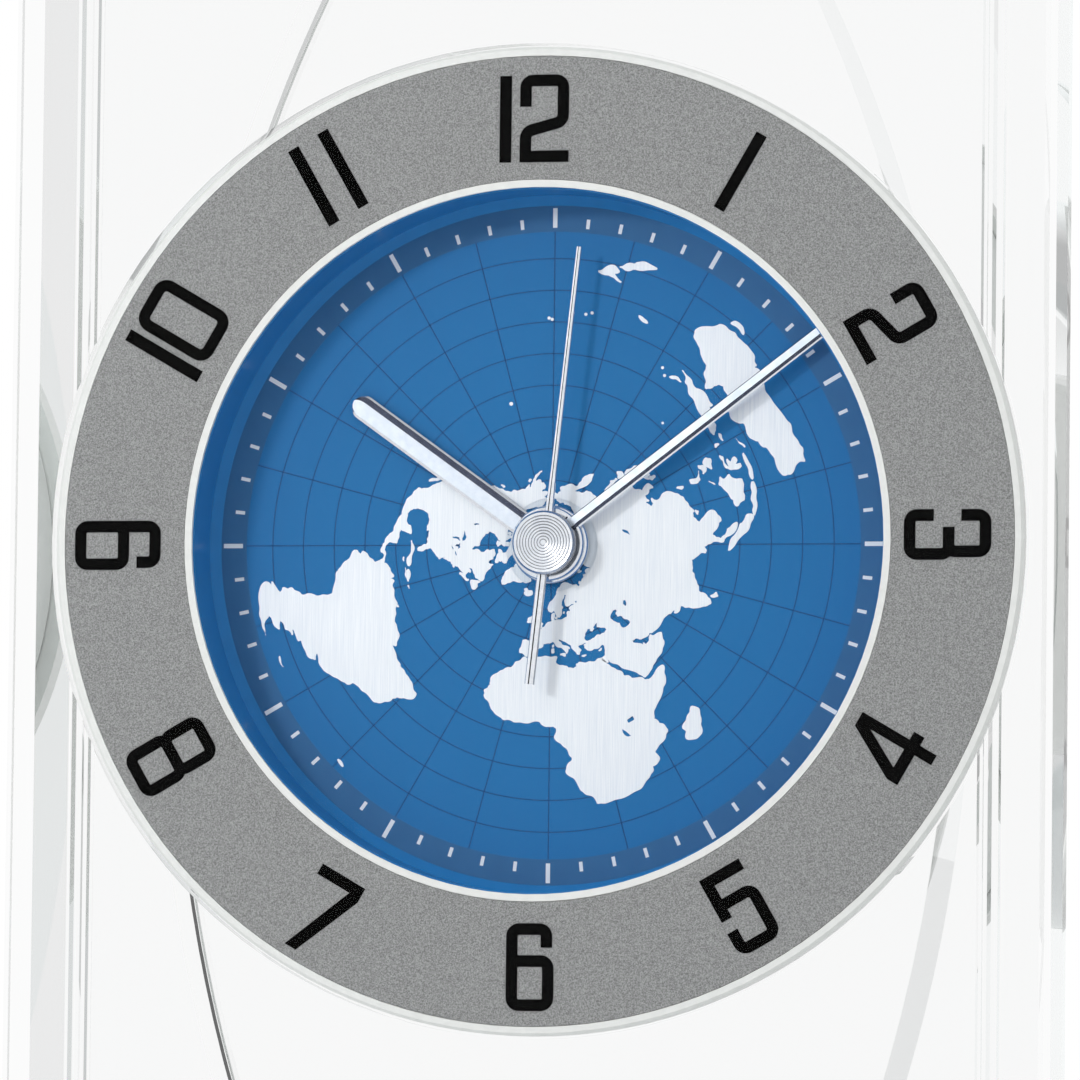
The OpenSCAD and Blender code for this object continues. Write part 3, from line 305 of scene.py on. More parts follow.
# Coasts as corners of longitude and latitude
COASTS = {
    "americas": """
-168 65.6, -164.5 66.5, -161.8 66.3, -163.8 67.2, -166.8 68.3, -163 69.2, -161 70.3, -156.5 71.3,
-152 70.8, -147 70.2, -141 69.7, -137 69, -135 69.4, -130 70, -127.6 70.5, -124.5 70, -124 69.4,
-119 69.4, -115 68.9, -113.5 67.8, -108.5 67.7, -107 68.8, -104 68.1, -101 67.8, -98 68, -96 68.3,
-94 68.6, -94.5 70, -96.3 71, -94.8 72, -92.6 71.2, -91.8 69.5, -90.3 68.8, -88.5 68.2, -88 67.4,
-86.5 67.4, -86 68.7, -85.3 69.7, -82 69.8, -81.4 69, -82.5 68, -81.3 67.4, -83 66.3, -86 66.4,
-86.5 65.5, -88 64.3, -90.5 63.8, -92 62.8, -94.2 61.4, -94.8 60, -94.5 58.8, -93 58.7, -92.5 57.3,
-90 57, -87.5 56, -85 55.3, -82.4 55.2, -82.3 53, -81 52, -80.3 51.3, -79 51.3, -78.8 52.5, -79.3 54.3,
-77.5 55.3, -76.6 56.5, -77 57.8, -78.5 58.8, -77.6 59.7, -77.8 60.8, -78.1 62.3, -75.7 62.3,
-73.7 62.4, -71.4 61.2, -69.5 61, -69.5 59.5, -69 58.8, -67.7 58.3, -66 58.8, -65 60, -64.5 60.4,
-63 58.9, -61.8 57.2, -60.5 55.8, -59 54.9, -57.4 54.2, -55.9 53, -55.8 52.2, -58.5 51.3, -60 50.3,
-63 50.3, -66.4 50.2, -67.2 49.4, -69.3 48.3, -71.2 46.9, -68.3 48.6, -65.5 49.2, -64.2 48.7,
-65.3 47.9, -64.8 47, -64.3 46.2, -62.5 45.7, -61.3 46, -60.5 47, -60 46, -61.3 45.3, -63.5 44.6,
-65.5 43.5, -66.2 44.2, -64.6 45.3, -66.5 45.1, -68.5 44.3, -70.2 43.6, -70.8 42.6, -70.5 41.8,
-70 41.7, -71.2 41.4, -73 41.2, -72 40.9, -73.9 40.6, -74.2 39.6, -75 38.9, -75.5 39.5, -75.2 38.3,
-76 37.2, -76.3 38.8, -76.4 37, -75.6 35.3, -77 34.7, -78 33.9, -79.3 33.1, -80.8 32.1, -81.4 30.8,
-81 29.2, -80.5 28.2, -80.1 26.8, -80.3 25.3, -81.2 25.2, -81.9 26.5, -82.8 27.9, -82.7 29, -84 30.1,
-85.3 29.7, -86.5 30.4, -88.5 30.4, -89.8 30.2, -89.2 29.1, -90.7 29.1, -92 29.6, -94 29.7, -95.3 28.9,
-97.1 27.8, -97.4 26.5, -97.7 24.5, -97.8 22.5, -97.2 20.5, -96.2 19.2, -94.7 18.2, -93 18.4,
-91.7 18.5, -90.7 19.4, -90.4 20.9, -88.5 21.6, -87 21.5, -87.5 20, -88 18.4, -88.6 16.2, -87.5 15.8,
-85.5 15.9, -83.3 15, -83.5 13, -83.7 11, -82.5 9.4, -81 8.8, -79.6 9.6, -77.5 8.7, -76.8 8,
-75.6 10.3, -74.6 11.1, -73 11.4, -71.7 12.4, -71.4 11, -71.6 9.8, -71 10.8, -70 12.1, -69.6 11.4,
-68.2 10.6, -66 10.6, -64.3 10.1, -62.3 10.7, -61.6 9.8, -60 8.5, -58.5 7.3, -57 6, -55 5.9, -53 5.5,
-51.7 4.2, -50.8 2.2, -50 1.2, -51 -.1, -48.6 -.6, -48 -.8, -44.8 -1.8, -44 -2.7, -41.5 -2.9,
-39.5 -3.1, -37 -4.8, -35.3 -5.3, -34.8 -7.2, -35.3 -9.2, -37 -11, -38.4 -13, -39 -15, -39.2 -17.8,
-40 -19.9, -41 -22, -42 -23, -44.6 -23.2, -46.5 -24.1, -48.4 -25.6, -48.7 -28.3, -50 -29.7, -52 -32.2,
-53.5 -34, -55 -34.9, -57 -34.4, -58.4 -33.9, -58.2 -34.8, -57 -36.2, -57.8 -38.1, -59.5 -38.7,
-62.2 -38.9, -62.2 -40.6, -64.8 -40.8, -65 -42, -63.7 -42.4, -65 -43.3, -65.4 -44.8, -67.4 -45.8,
-67 -46.8, -65.8 -47.4, -66 -48.2, -67.8 -49.7, -69 -51, -68.4 -52.4, -68.2 -53.2, -66.5 -54.4,
-65.2 -54.7, -67 -55.3, -69.5 -55.4, -71.8 -54.3, -74.4 -52.8, -75.3 -51, -75.4 -48.8, -74.5 -47.5,
-75.5 -46.7, -74 -45, -72.9 -43.5, -73.9 -41.8, -73.3 -39.5, -73.5 -37.3, -72.6 -35.5, -71.6 -33.4,
-71.6 -30.5, -71.1 -27.5, -70.5 -25, -70.2 -21, -70.4 -18.4, -72.2 -17, -75.5 -15.2, -76.4 -13.6,
-77.2 -12, -78.5 -9, -79.8 -7.2, -81.2 -5.8, -81.2 -4.3, -80.2 -3.2, -79.9 -2.5, -80.9 -1.6, -80 .6,
-78.7 1.6, -77.2 3.8, -77.5 5.8, -77.9 7.2, -78.3 8.4, -79.6 8.9, -80.4 8.2, -80.3 7.4, -81.8 7.7,
-83 8.3, -83.7 9.3, -85 9.8, -85.8 10.8, -87 12.4, -88 13.2, -90 13.7, -92.2 14.5, -94 16, -96 15.8,
-98.5 16.3, -101 17.4, -103.5 18.3, -105.5 19.8, -105.3 21.3, -106.3 23.2, -108 25.2, -109.4 26.5,
-110.8 27.9, -112.2 29, -113.1 31, -114.7 31.8, -114.6 30.3, -113 28.5, -111.8 26.8, -111 25.4,
-110.2 24.3, -109.5 23.1, -110 22.9, -111.5 24.4, -112.2 25.8, -113.8 26.8, -115 27.8, -114.2 28.6,
-115.7 29.9, -116.6 31.6, -117.3 33, -118.5 34, -120.6 34.6, -121.8 36.4, -122.5 37.6, -123.8 39.2,
-124.3 40.4, -124.2 42.5, -124 45, -124.2 47, -124.6 48.3, -122.8 48.2, -122.5 47.2, -122.7 49,
-124.6 49.9, -127.4 51, -128.2 52.3, -130 54, -130.5 55.2, -132.5 56.8, -135.5 58.5, -136.5 58,
-138.5 59.2, -140 59.7, -144 60, -146.5 60.8, -148.3 60.2, -151.8 59.2, -150.5 61.1, -152.5 60.7,
-154 59.4, -156.2 57.7, -158.5 56.2, -161.8 55.3, -164.8 54.7, -161.5 56, -158.5 57.4, -157.2 58.8,
-159.5 58.7, -162 58.7, -162 60, -164.5 60.3, -165.8 61.6, -164.7 63.1, -161.5 63.5, -161 64.6,
-163.2 64.5, -166.3 64.6""",
    "greenland": """
-73 78.2, -69 79.8, -65 81, -58 82.2, -50 82.4, -44 83, -33 83.6, -25 83.1, -22 82.3, -12.5 81.6,
-17 80.2, -19.5 79.2, -18.8 77.8, -20.5 76, -19.5 75.2, -21.5 74, -22.5 72.5, -25 71.3, -22 70.4,
-26 68.8, -31 68.2, -35 66.3, -38.5 65.6, -40.7 64.5, -42.5 62.5, -43 60.9, -44.5 60, -47.5 60.8,
-49.5 62, -51.3 63.8, -53 66, -53.5 67.8, -51 69.2, -54.3 70.3, -53.5 71.3, -55.5 73, -57.5 75,
-62 76.1, -68.5 76.1, -70.5 77.3""",
    "baffin": """
-61.5 66.6, -65 68.1, -68.5 69.5, -71 70.8, -75.5 72.3, -79.5 73.7, -85 73.7, -89.5 72.8, -89.5 71,
-86.5 70.2, -82 69.9, -77 69.2, -73.5 68.3, -72.8 67, -73.5 65.8, -77.5 65.2, -78 64.5, -74.5 64.5,
-71.5 63.2, -68 62.2, -65.5 61.8, -65 62.8, -68.5 63.7, -65.3 63.9, -67 65.3, -64.5 65.1, -62 65.7""",
    "victoria": """
-105.5 69.2, -101.8 69.6, -104.5 70.8, -105 72.6, -108 73.2, -110 72.8, -114 72.7, -118.8 71.7,
-117 70.5, -117 69.5, -113 68.6, -109 68.8""",
    "banks": "-116 73, -120 74.2, -124.3 74.3, -125.6 72.3, -123 71.1, -120.5 71.5",
    "ellesmere": """
-64 82.6, -72 83.1, -82 82.8, -90 82, -92 81, -88.5 80.3, -86.5 79, -88 77.5, -89.5 76.6, -82 76.3,
-78.5 76.6, -79.5 78, -75 78.7, -74.5 79.7, -68 80.8""",
    "axel": "-88 78.5, -92.5 78.4, -95 79.5, -93 81.2, -90 80.4",
    "devon": "-80 75.6, -80.5 74.6, -86 74.4, -91.7 74.8, -92 76.5, -88 76.1, -84 75.8",
    "melville": "-105.8 75, -111 74.6, -116.5 75.2, -117 76.2, -109.5 76.5",
    "bathurst": "-98 75, -103.5 75.3, -102 76.5, -98 76.4",
    "somerset": "-90.3 74, -95.3 74, -95.6 72.2, -92.3 72.8",
    "wales": "-97 74, -101.5 73.8, -102.5 72.8, -100 71.6, -97 71.8",
    "king_william": "-95.6 69.5, -98.3 70, -99.5 69, -97 68.6",
    "southampton": "-81 64, -84 63.4, -87 63.7, -86 65.5, -84 66",
    "newfoundland": """
-55.5 51.5, -57 50.8, -58.8 48.7, -59.3 47.7,
-56 47, -53.8 46.8, -53 47.6, -53.8 49.2, -55.8 49.8""",
    "vancouver": "-128.3 50.8, -125.5 50.3, -123.6 48.6, -125.3 48.7",
    "haida": "-131.8 54, -133 54.1, -131.4 52.2",
    "kodiak": "-152.3 58.3, -154.4 57.6, -153.3 57, -151.9 57.6",
    "africa": """
-5.7 35.8, -3 35.3, -1 35.7, 3 36.8, 7 37, 10 37.3, 11 36.9, 10.4 35.6, 10.2 34.1, 11.3 33.2,
13.5 32.8, 15.3 32.2, 15.8 31.3, 18.5 30.4, 20 31, 20 32.3, 21.7 32.9, 23.2 32.3, 25 31.6, 27.5 31.2,
29.5 30.9, 31 31.5, 32.4 31.2, 32.5 30, 33.3 28.4, 34 26.8, 35.5 24, 37.2 21.5, 37.3 19, 38.6 18,
39.4 15.8, 41.2 14.5, 43 12.7, 43.2 11.5, 44.5 10.5, 47 11.1, 51.2 11.8, 50.8 9.8, 49.3 6.8, 47.8 4.2,
45.5 2, 43 -.3, 41 -2.1, 39.6 -4.2, 38.9 -6.2, 39.5 -7.5, 39.5 -9.2, 40.5 -10.8, 40.6 -14.5, 39 -16.8,
36.8 -17.9, 34.9 -19.9, 35.4 -23, 35 -24.5, 32.9 -25.5, 32.7 -27.8, 31.2 -29.8, 29.5 -31.8, 27.5 -33.2,
25.6 -34, 22.5 -34.1, 20 -34.8, 18.4 -34.2, 18.2 -32.2, 17 -29.6, 15.6 -27.5, 14.9 -25.5, 14.4 -22.8,
12.8 -19.5, 11.8 -17.5, 12.2 -15, 13.6 -12.5, 13.8 -10.8, 13 -8.8, 12.2 -5.9, 11 -3.8, 9 -1.2, 9.5 .8,
9.7 3.5, 8.8 4.5, 7 4.4, 5.5 4.8, 4.4 6.4, 2 6.4, -1 5.1, -3 5, -5 5.2, -7.6 4.4, -9.5 5.6, -11.5 6.9,
-13.2 8.7, -14.8 10.8, -16.7 12.3, -16.8 13.6, -17.4 14.7, -16.4 16.2, -16.1 18, -16.5 19.5, -17 20.9,
-16 23.5, -14.5 26, -12.9 27.8, -10.5 29, -9.7 30.4, -9.3 32.4, -7 33.8""",
    "madagascar": """
49.3 -12, 50.4 -15.4, 49.5 -17.8, 48 -21.5, 47.1 -25, 45.3 -25.5, 43.8 -23.8, 43.3 -22, 44.4 -20,
44 -17.3, 46 -15.8, 48 -14""",
    "eurasia": """
32.6 30, 32.7 31.1, 34.3 31.4, 35 32.8, 35.8 34.5, 36 36.6, 34.5 36.7, 32.5 36.1, 30.7 36.8, 28.3 36.7,
27.2 37.4, 26.4 38.6, 26.8 39.5, 26.3 40.2, 28 40.4, 29.3 40.8, 27.5 41, 26.1 40.8, 24 40.8, 22.8 40.5,
23.3 39.2, 24.1 38, 23 37.4, 22.7 36.5, 21.5 37, 21 38.3, 19.5 40.2, 19.4 41.8, 17.5 43, 15.2 44.3,
13.7 45.1, 12.3 45.3, 12.5 44.2, 13.7 43.4, 14.3 42.3, 16 41.8, 18.4 40.2, 17 40.4, 17.1 39.2, 16.2 38,
15.8 39.2, 14.5 40.7, 12.5 41.5, 10.5 42.8, 9.8 44.1, 8.6 44.4, 7 43.6, 4.8 43.4, 3.1 43.2, 3.1 41.9,
.9 41, -.3 39.6, -.2 38.7, -1.5 37.5, -3 36.8, -5.3 36.1, -6.4 36.9, -8.9 37, -9.3 38.7, -8.8 41,
-9.1 43.1, -7.5 43.7, -4 43.5, -1.6 43.4, -1.2 45.5, -2.5 47.3, -4.6 48.1, -3.2 48.8, -1.5 48.7,
-1.6 49.6, .3 49.5, 1.7 50.7, 3.5 51.4, 4.6 52.8, 6.8 53.5, 8.7 53.9, 8.2 55.5, 8.3 57, 10.6 57.7,
10.5 56.5, 9.8 55.2, 11 54.1, 13.5 54.4, 16 54.2, 18.5 54.7, 20.5 54.9, 21.1 57, 22.5 57.6, 24.2 57.1,
24 58.8, 27 59.5, 29.8 59.9, 27 60.5, 23 59.9, 21.4 60.8, 21.4 62.8, 24 64.7, 25.3 65.2, 23 65.8,
21.5 64.5, 18 62.6, 17.2 61, 18.6 59.9, 16.7 58.5, 16.5 57, 15 56, 14.2 55.5, 12.8 56, 11.5 58,
10.5 59.2, 8.3 58.1, 5.7 58.8, 5.2 61, 6.5 62.8, 9.5 63.8, 12.3 65.5, 14.5 67.5, 17.5 69.2, 21.5 70.2,
25.7 71, 30 70.5, 33 69.4, 40.5 67.8, 41 66.5, 38 66.1, 33 66.8, 34.8 64.5, 38 64, 40.3 64.6,
40.2 66.2, 43.5 66.2, 44 67.7, 46 68.2, 46 67, 50 68.1, 54 68.3, 55 68.9, 59.5 68.4, 61 69.5, 65 69,
68 68.3, 67 69.7, 66.8 71.3, 69 72.9, 72.8 72.8, 72 71, 72.5 69, 71.5 66.7, 73.8 67.6, 74.3 69.8,
73.8 71.5, 75.5 72.7, 79 72.5, 81.5 71.7, 80.5 73.5, 86 74.2, 87 75, 93 76, 99 76.4, 104.3 77.6,
108 76.7, 113 76.1, 111 74.6, 106.5 73.2, 112 73.9, 117 73.2, 123 73, 127 73.5, 129.5 71.3, 133 71.5,
139 72.3, 141 72.8, 149 72.2, 153 71, 160 69.7, 162.5 69.6, 170 69.9, 171 69.1, 176 69.8, 180 69,
-176 68, -171 66.9, -169.8 66.1, -173 64.4, -176 65.4, -178.5 66, -180 65, 179 64.7, 177.3 64.8,
179.4 62.6, 175 61.8, 170.5 60, 166 60.3, 163.3 59.6, 163.2 58, 162 56.4, 162 54.9, 159.9 53.2,
158 51.8, 156.7 51, 155.6 54.5, 156.5 57, 159.5 59.3, 163.5 61.5, 164.3 62.5, 160 61.8, 156 61.4,
154.5 59.6, 151 59, 148 59.4, 143 59.3, 139 57.3, 135.5 54.8, 138 53.8, 141 53.2, 140.5 50.5,
140.2 48.2, 138 46.3, 135.5 44.3, 133 42.8, 131 42.7, 129.7 41.2, 127.5 39.8, 129.3 37.2, 129.3 35.4,
127.5 34.7, 126.4 34.6, 126.7 36.8, 125 38, 125.2 39.5, 122.5 39.6, 121.2 38.9, 121.8 40.8, 119.5 39.7,
117.8 39, 119 37.3, 122.4 37.3, 119.8 35.5, 120.8 33, 121.8 31.6, 121.8 29.8, 120.7 27.8, 119 25.5,
117 23.7, 114.2 22.5, 111.8 21.6, 110.3 20.4, 109.8 21.5, 108.2 21.6, 106.5 20, 105.8 18.8, 107.5 16.5,
109 14.5, 109.3 12, 107.5 10.5, 105.5 8.8, 104.9 10.1, 103 11, 102 12.5, 100.8 13.4, 99.8 11.6,
99.3 9.3, 100.5 7.2, 102.5 6.2, 103.5 4, 104.2 1.4, 102 2.2, 100.5 4.5, 100 6.6, 98.3 8, 98.5 10.5,
98.5 13, 97.6 15.5, 96.8 17.2, 95.3 15.8, 94.3 16.2, 94.4 18.5, 92.5 20.8, 91.5 22.6, 89.5 21.9,
87 21.4, 86.3 20, 83.5 18, 82 16.4, 80.2 15.6, 80.2 13.3, 79.8 11.5, 79 9.5, 77.6 8.1, 76.3 9.8,
75 12.5, 73.7 15.7, 72.8 18.8, 72.8 21.2, 71.5 20.9, 70 21, 69 22.4, 70.3 22.9, 68.2 23.7, 66.7 25,
63.5 25.4, 59 25.4, 57.2 25.9, 56.5 27.1, 54.5 26.6, 51.5 27.9, 50.2 30, 48.5 30.2, 48.3 28.7, 50 26.8,
50.8 24.8, 51.6 25.8, 51.7 24.2, 54 24.2, 56.1 26, 56.7 24.3, 58.7 23.6, 59.8 22.5, 57.9 20, 57.7 18.9,
55.5 17.5, 52.3 16, 50 15.1, 47.5 13.8, 45.2 12.9, 43.5 12.7, 42.9 14.8, 42.3 16.8, 40.8 19.2,
39.1 21.3, 38 23.9, 36.5 26, 35 28, 34.9 29.4, 34.3 27.8, 33.2 29""",
    "black_sea": """
28.2 41.6, 27.6 42.6, 28.7 44, 30 45.5, 31.5 46.6, 33.4 46, 32.6 45.4, 33.8 44.5, 35.4 45.1, 35 46,
37.5 47, 39.1 47.2, 38 46.2, 37.3 45.3, 39.3 44, 41.5 42.7, 41.5 41.6, 39.5 41, 36.8 41.2, 35 42,
31.8 41.4, 30 41.2""",
    "caspian": """
49 46.4, 51.5 47, 53.1 46.5, 53 45.3, 51.2 44.7, 51 43.2, 52.7 42.5, 52.8 41, 53.8 39.2, 53.9 37,
51 36.8, 49 37.7, 49 39.5, 49.5 40.4, 48.3 41.8, 47.5 43, 47 44.8""",
    "aral": "58.5 45.5, 60.5 46.5, 61.5 45.8, 59.5 43.8, 58.4 44",
    "baikal": "104 51.6, 106 53.5, 109.5 55.7, 108.8 54, 106 52.2",
    "superior": "-92 46.7, -90 48, -88 48.8, -85.5 48, -84.7 46.7, -87 46.5, -89 47",
    "michigan": "-87.6 41.8, -87.8 43.5, -87.4 45.2, -85.3 46, -85.3 45, -86.4 43.8, -86.6 42",
    "huron": "-84.2 46, -81 46, -79.9 44.7, -81.6 44.8, -81.8 43.2, -83.3 44, -83.3 45.2",
    "erie": "-83.3 41.6, -81 42.6, -79 42.8, -81 41.7",
    "ontario": "-79.7 43.3, -78 43.9, -76.3 44.1, -76.6 43.4",
    "winnipeg": "-97 50.6, -98.8 53, -97.8 53.8, -96.5 51.8",
    "bear": "-125 65.5, -123 66.8, -119 66.5, -121 65.3",
    "slave": "-117 61.3, -114 62.4, -110 62.8, -112.5 61.3",
    "victoria_lake": "31.8 -.4, 33.8 .2, 33.8 -2.2, 31.9 -2.4",
    "ladoga": "30.5 61.2, 32.5 61, 32.3 60.2, 31 60",
    "iceland": """
-24.3 65.5, -22.3 66.4, -20 65.8, -16.2 66.5,
-13.8 65.2, -15.5 64.2, -18.7 63.4, -22.3 63.9, -22 64.7""",
    "britain": """
-5 58.6, -3.2 58.6, -4 57.6, -1.9 57.6, -3.2 56, -1.6 55.3, -.2 54, .4 52.9, 1.7 52.6, .9 51.4, 1.2 51,
-1.2 50.7, -3.5 50.3, -5.5 50.1, -4.2 51.1, -3 51.4, -5.1 51.8, -4.2 52.8, -4.4 53.2, -3 53.5,
-3.2 54.6, -5 54.8, -4.9 55.7, -6 56.8""",
    "ireland": "-7.3 55.3, -5.7 54.6, -6.2 52.3, -9.7 51.6, -9.9 53.5, -8.4 54.4",
    "sicily": "12.5 38, 15.5 38.2, 15.1 36.8",
    "sardinia": "8.3 39, 9.6 39.3, 9.5 41, 8.3 40.8",
    "corsica": "8.8 41.5, 9.4 42.9, 8.6 42.4",
    "crete": "23.6 35.5, 26.2 35.2, 24.8 34.9",
    "cyprus": "32.4 34.9, 34.4 35.6, 33.6 34.7",
    "zealand": "11.2 55.6, 12.5 56, 12.2 55, 11.3 55.2",
    "gotland": "18.2 57.3, 19 57.9, 18.5 57",
    "svalbard": "11 79.6, 16 80, 21.5 78.6, 18 77, 16 76.7, 13.5 78",
    "nordaust": "18.5 79.8, 22 80.4, 27 80.1, 22 79.3",
    "franz": "47 80.5, 53 81, 63 81, 57 80.2",
    "zemlya_south": "52 71.5, 57.4 70.7, 56 72, 58 73.3, 55 73.3",
    "zemlya_north": "55 73.6, 58.5 74, 61 75.3, 68.5 76.7, 66 77, 58.5 76, 55.5 75",
    "severnaya": "95 79, 100 78.2, 105 78.9, 100 80, 96 81, 92 80",
    "new_siberia": "137.5 75.5, 142 76, 150 75.2, 144 74.8, 140 74.7",
    "wrangel": "178.8 71.1, -178 71.5, -178.5 70.9",
    "sakhalin": """
142.6 54.3, 143.2 52, 143.4 49.3, 144.6 48.8,
142.8 47, 143.3 46.4, 142 46, 142 49.5, 141.8 52""",
    "hokkaido": "141.9 45.5, 143.3 44.3, 145.4 43.6, 143.3 42, 141 42.4, 140.2 41.6, 140 42.8, 141.3 43.4",
    "honshu": """
140.9 41.5, 141.5 41.4, 142 39.6, 141 38.2, 140.8 36.2, 139.8 35, 138.2 34.7, 136.9 34.3, 135.8 33.5,
135.1 34.6, 132.5 34.2, 131 34, 131.4 34.7, 133.2 35.6, 135.8 35.6, 136.7 36.8, 137.2 37.4, 138.6 37.4,
139.8 39, 140 40.5""",
    "shikoku": "132.4 33.8, 134.4 34.3, 134.2 33.3, 132.8 32.8",
    "kyushu": "130.9 33.9, 131.9 33.2, 131.2 31.3, 130.3 31.3, 129.8 33.2",
    "taiwan": "121.5 25.2, 121.3 23.5, 120.8 22, 120.1 23.2",
    "hainan": "110.8 20, 110 18.5, 108.7 19.2",
    "luzon": "120.7 18.4, 122.2 18.4, 121.6 16, 122 14.2, 124 12.7, 122.5 13.6, 120.7 13.9, 120 15.5",
    "visayas": "122 11.8, 123.2 11.2, 124.5 12.4, 125.4 12.2, 124.8 10.3, 123.3 9.3, 122.5 10",
    "palawan": "117.2 8.4, 119.3 10.8, 118 9",
    "mindanao": "122.2 7.2, 123.5 8.5, 125.5 9.7, 126.5 7.5, 125.5 5.8, 124 6.8",
    "borneo": """
109.1 1.4, 111 1.8, 111.5 2.8, 113.5 3.6, 115.3 5.3, 116.8 6.9, 119.2 5.2, 117.7 3.8, 118.8 1,
117.5 .5, 116.5 -1.5, 116.2 -3.8, 114.6 -4, 113 -3.1, 111.7 -3.3, 110.2 -2.8, 110 -1.3, 109 .2""",
    "sumatra": """
95.3 5.6, 97.5 5.2, 100.3 2.7, 103.6 .2, 103.8 -1, 106 -3, 105.8 -5.8, 104.5 -5.8, 102.3 -4,
100.5 -1.2, 98.7 1.7""",
    "java": """
105.3 -6.6, 107 -6, 108.7 -6.7, 110.8 -6.4,
112.8 -7, 114.5 -7.8, 114.4 -8.7, 110 -8, 106.5 -7.4""",
    "lesser_sunda": "115 -8.3, 118 -8.3, 123 -8.3, 120 -9, 116 -9",
    "timor": "123.6 -10.3, 125.5 -8.8, 127.2 -8.4, 125 -9.8",
    "sulawesi": """
120.8 1.3, 123 .95, 125.1 1.6, 124.2 .4, 121 .5, 120.1 -.8, 123.3 -.7, 121.6 -1.9, 122.8 -4,
121.6 -4.7, 120.9 -2.9, 120.4 -5.5, 119.6 -5.5, 119.2 -3.4, 119.8 -.3""",
    "halmahera": "127.6 1.5, 128.6 1, 128 -.8",
    "seram": "128 -3.1, 130.7 -3, 130 -3.6",
    "new_guinea": """
131 -.9, 132.5 -.4, 134.1 -.9, 134.8 -3.2, 137.8 -1.6, 141 -2.6, 144.5 -3.9, 145.9 -5.6, 147.8 -6.7,
148.5 -9, 150.8 -10.4, 147 -9.5, 144.6 -7.7, 142.5 -9.3, 139.5 -8.1, 138 -8.4, 138.5 -6.5, 136 -4.6,
133 -4, 132 -2.6""",
    "britannia": "148.5 -5.7, 150.5 -5.5, 152.3 -4.2, 151.5 -5.6, 149.8 -6.3",
    "caledonia": "164 -20.2, 167 -22.2, 165.3 -21.6",
    "australia": """
142.5 -10.8, 143.6 -13.5, 145.3 -14.9, 145.7 -17, 146.4 -18.9, 148.7 -20.5, 149.8 -22.3, 150.9 -23.5,
152.9 -25.3, 153.5 -28.3, 152.8 -31.2, 151.4 -33.5, 150.2 -36, 149.9 -37.5, 147.8 -38, 146.3 -39,
144.5 -38.2, 142.5 -38.4, 140.4 -37.9, 139.4 -36, 138.2 -35.6, 138.3 -33.8, 136.8 -35.2, 137.8 -32.8,
135.9 -34.9, 134.2 -32.8, 131.2 -31.5, 128 -32, 124.7 -33, 123.5 -33.9, 120 -33.9, 118 -35.1,
115.2 -34.3, 115.7 -31.8, 114.2 -28, 113.5 -26, 113.6 -23.6, 114.2 -21.9, 117 -20.6, 119.5 -20,
121.5 -19.1, 122.3 -17.3, 123.7 -17, 124.4 -15.5, 126.5 -14, 128.2 -14.9, 129.5 -14.9, 130.6 -12.5,
132.6 -11.4, 135 -12.2, 136.9 -12.2, 135.7 -14.9, 138 -16.6, 139.8 -17.6, 141 -16.5, 141.6 -14.3,
141.7 -12.5""",
    "tasmania": "144.7 -40.7, 148.3 -40.9, 147.9 -43.1, 146.5 -43.6, 145.3 -42.5",
    "nz_north": """
172.7 -34.5, 174.8 -36.3, 175.8 -36.8, 178.4 -37.7, 177 -39.5, 176.3 -41, 175 -41.6, 173.8 -39.4,
174.8 -38.2, 174.5 -37""",
    "nz_south": """
172.7 -40.6, 174.2 -41.5, 172.9 -43.6, 171.2 -44.5, 170.6 -45.9, 168.4 -46.6, 166.5 -45.9, 168.3 -44.1,
171.2 -42.4""",
    "sri_lanka": "80 9.7, 81.8 7.5, 80.6 6, 79.8 7.9",
    "cuba": "-84.9 21.9, -82.5 23.1, -80 22.9, -77.2 21.7, -74.2 20.2, -77.6 19.9, -78.2 20.8, -81.5 22.2",
    "hispaniola": "-74.4 18.5, -72.4 18.6, -73.3 19.9, -70 19.8, -68.4 18.6, -71.3 17.8",
    "jamaica": "-78.3 18.4, -76.3 18.1, -77.2 17.8",
    "puerto_rico": "-67.2 18.4, -65.7 18.3, -67.1 18",
    "trinidad": "-61.8 10.7, -61 10.8, -61.2 10.1",
    "falkland": "-61 -51.6, -58.3 -51.4, -59.5 -52.2",
    "georgia": "-38 -54, -36.2 -54.4, -36.2 -54.9",
    "tanganyika": "29.4 -3.4, 31.2 -8.6, 30.2 -8.2, 29.2 -5.2",
}

# Small islands: longitude, latitude and radius in millimetres
ISLETS = [(-155.6, 20.6, 0.2), (-172, -13.7, 0.17), (-171.2, -14.4, 0.17), (178, -17.8, 0.17),
          (179.5, -16.8, 0.17), (144.8, 13.4, 0.14), (155.3, -6, 0.16), (153.6, -3.6, 0.16)]


# The map: north pole on the axis, and this meridian at twelve o'clock
NOON_LON = 187.5
PACIFIC_CLOCK, PACIFIC_OUT = 35, 0.75


def on_map(lon, lat):
    r = DEGREE * (90 - lat)
    clock = (NOON_LON - lon) % 360
    # The south-west of the Pacific lies a little further out
    aside = abs((clock - PACIFIC_CLOCK + 180) % 360 - 180)
    share = max(0, min(1, (r - 12) / 12)) * max(0, min(1, 2 - aside / PACIFIC_CLOCK))
    return polar(r + PACIFIC_OUT * share, clock)


# How far a coast's side breaks out of line, as a share of its length
RAGGED = 0.16


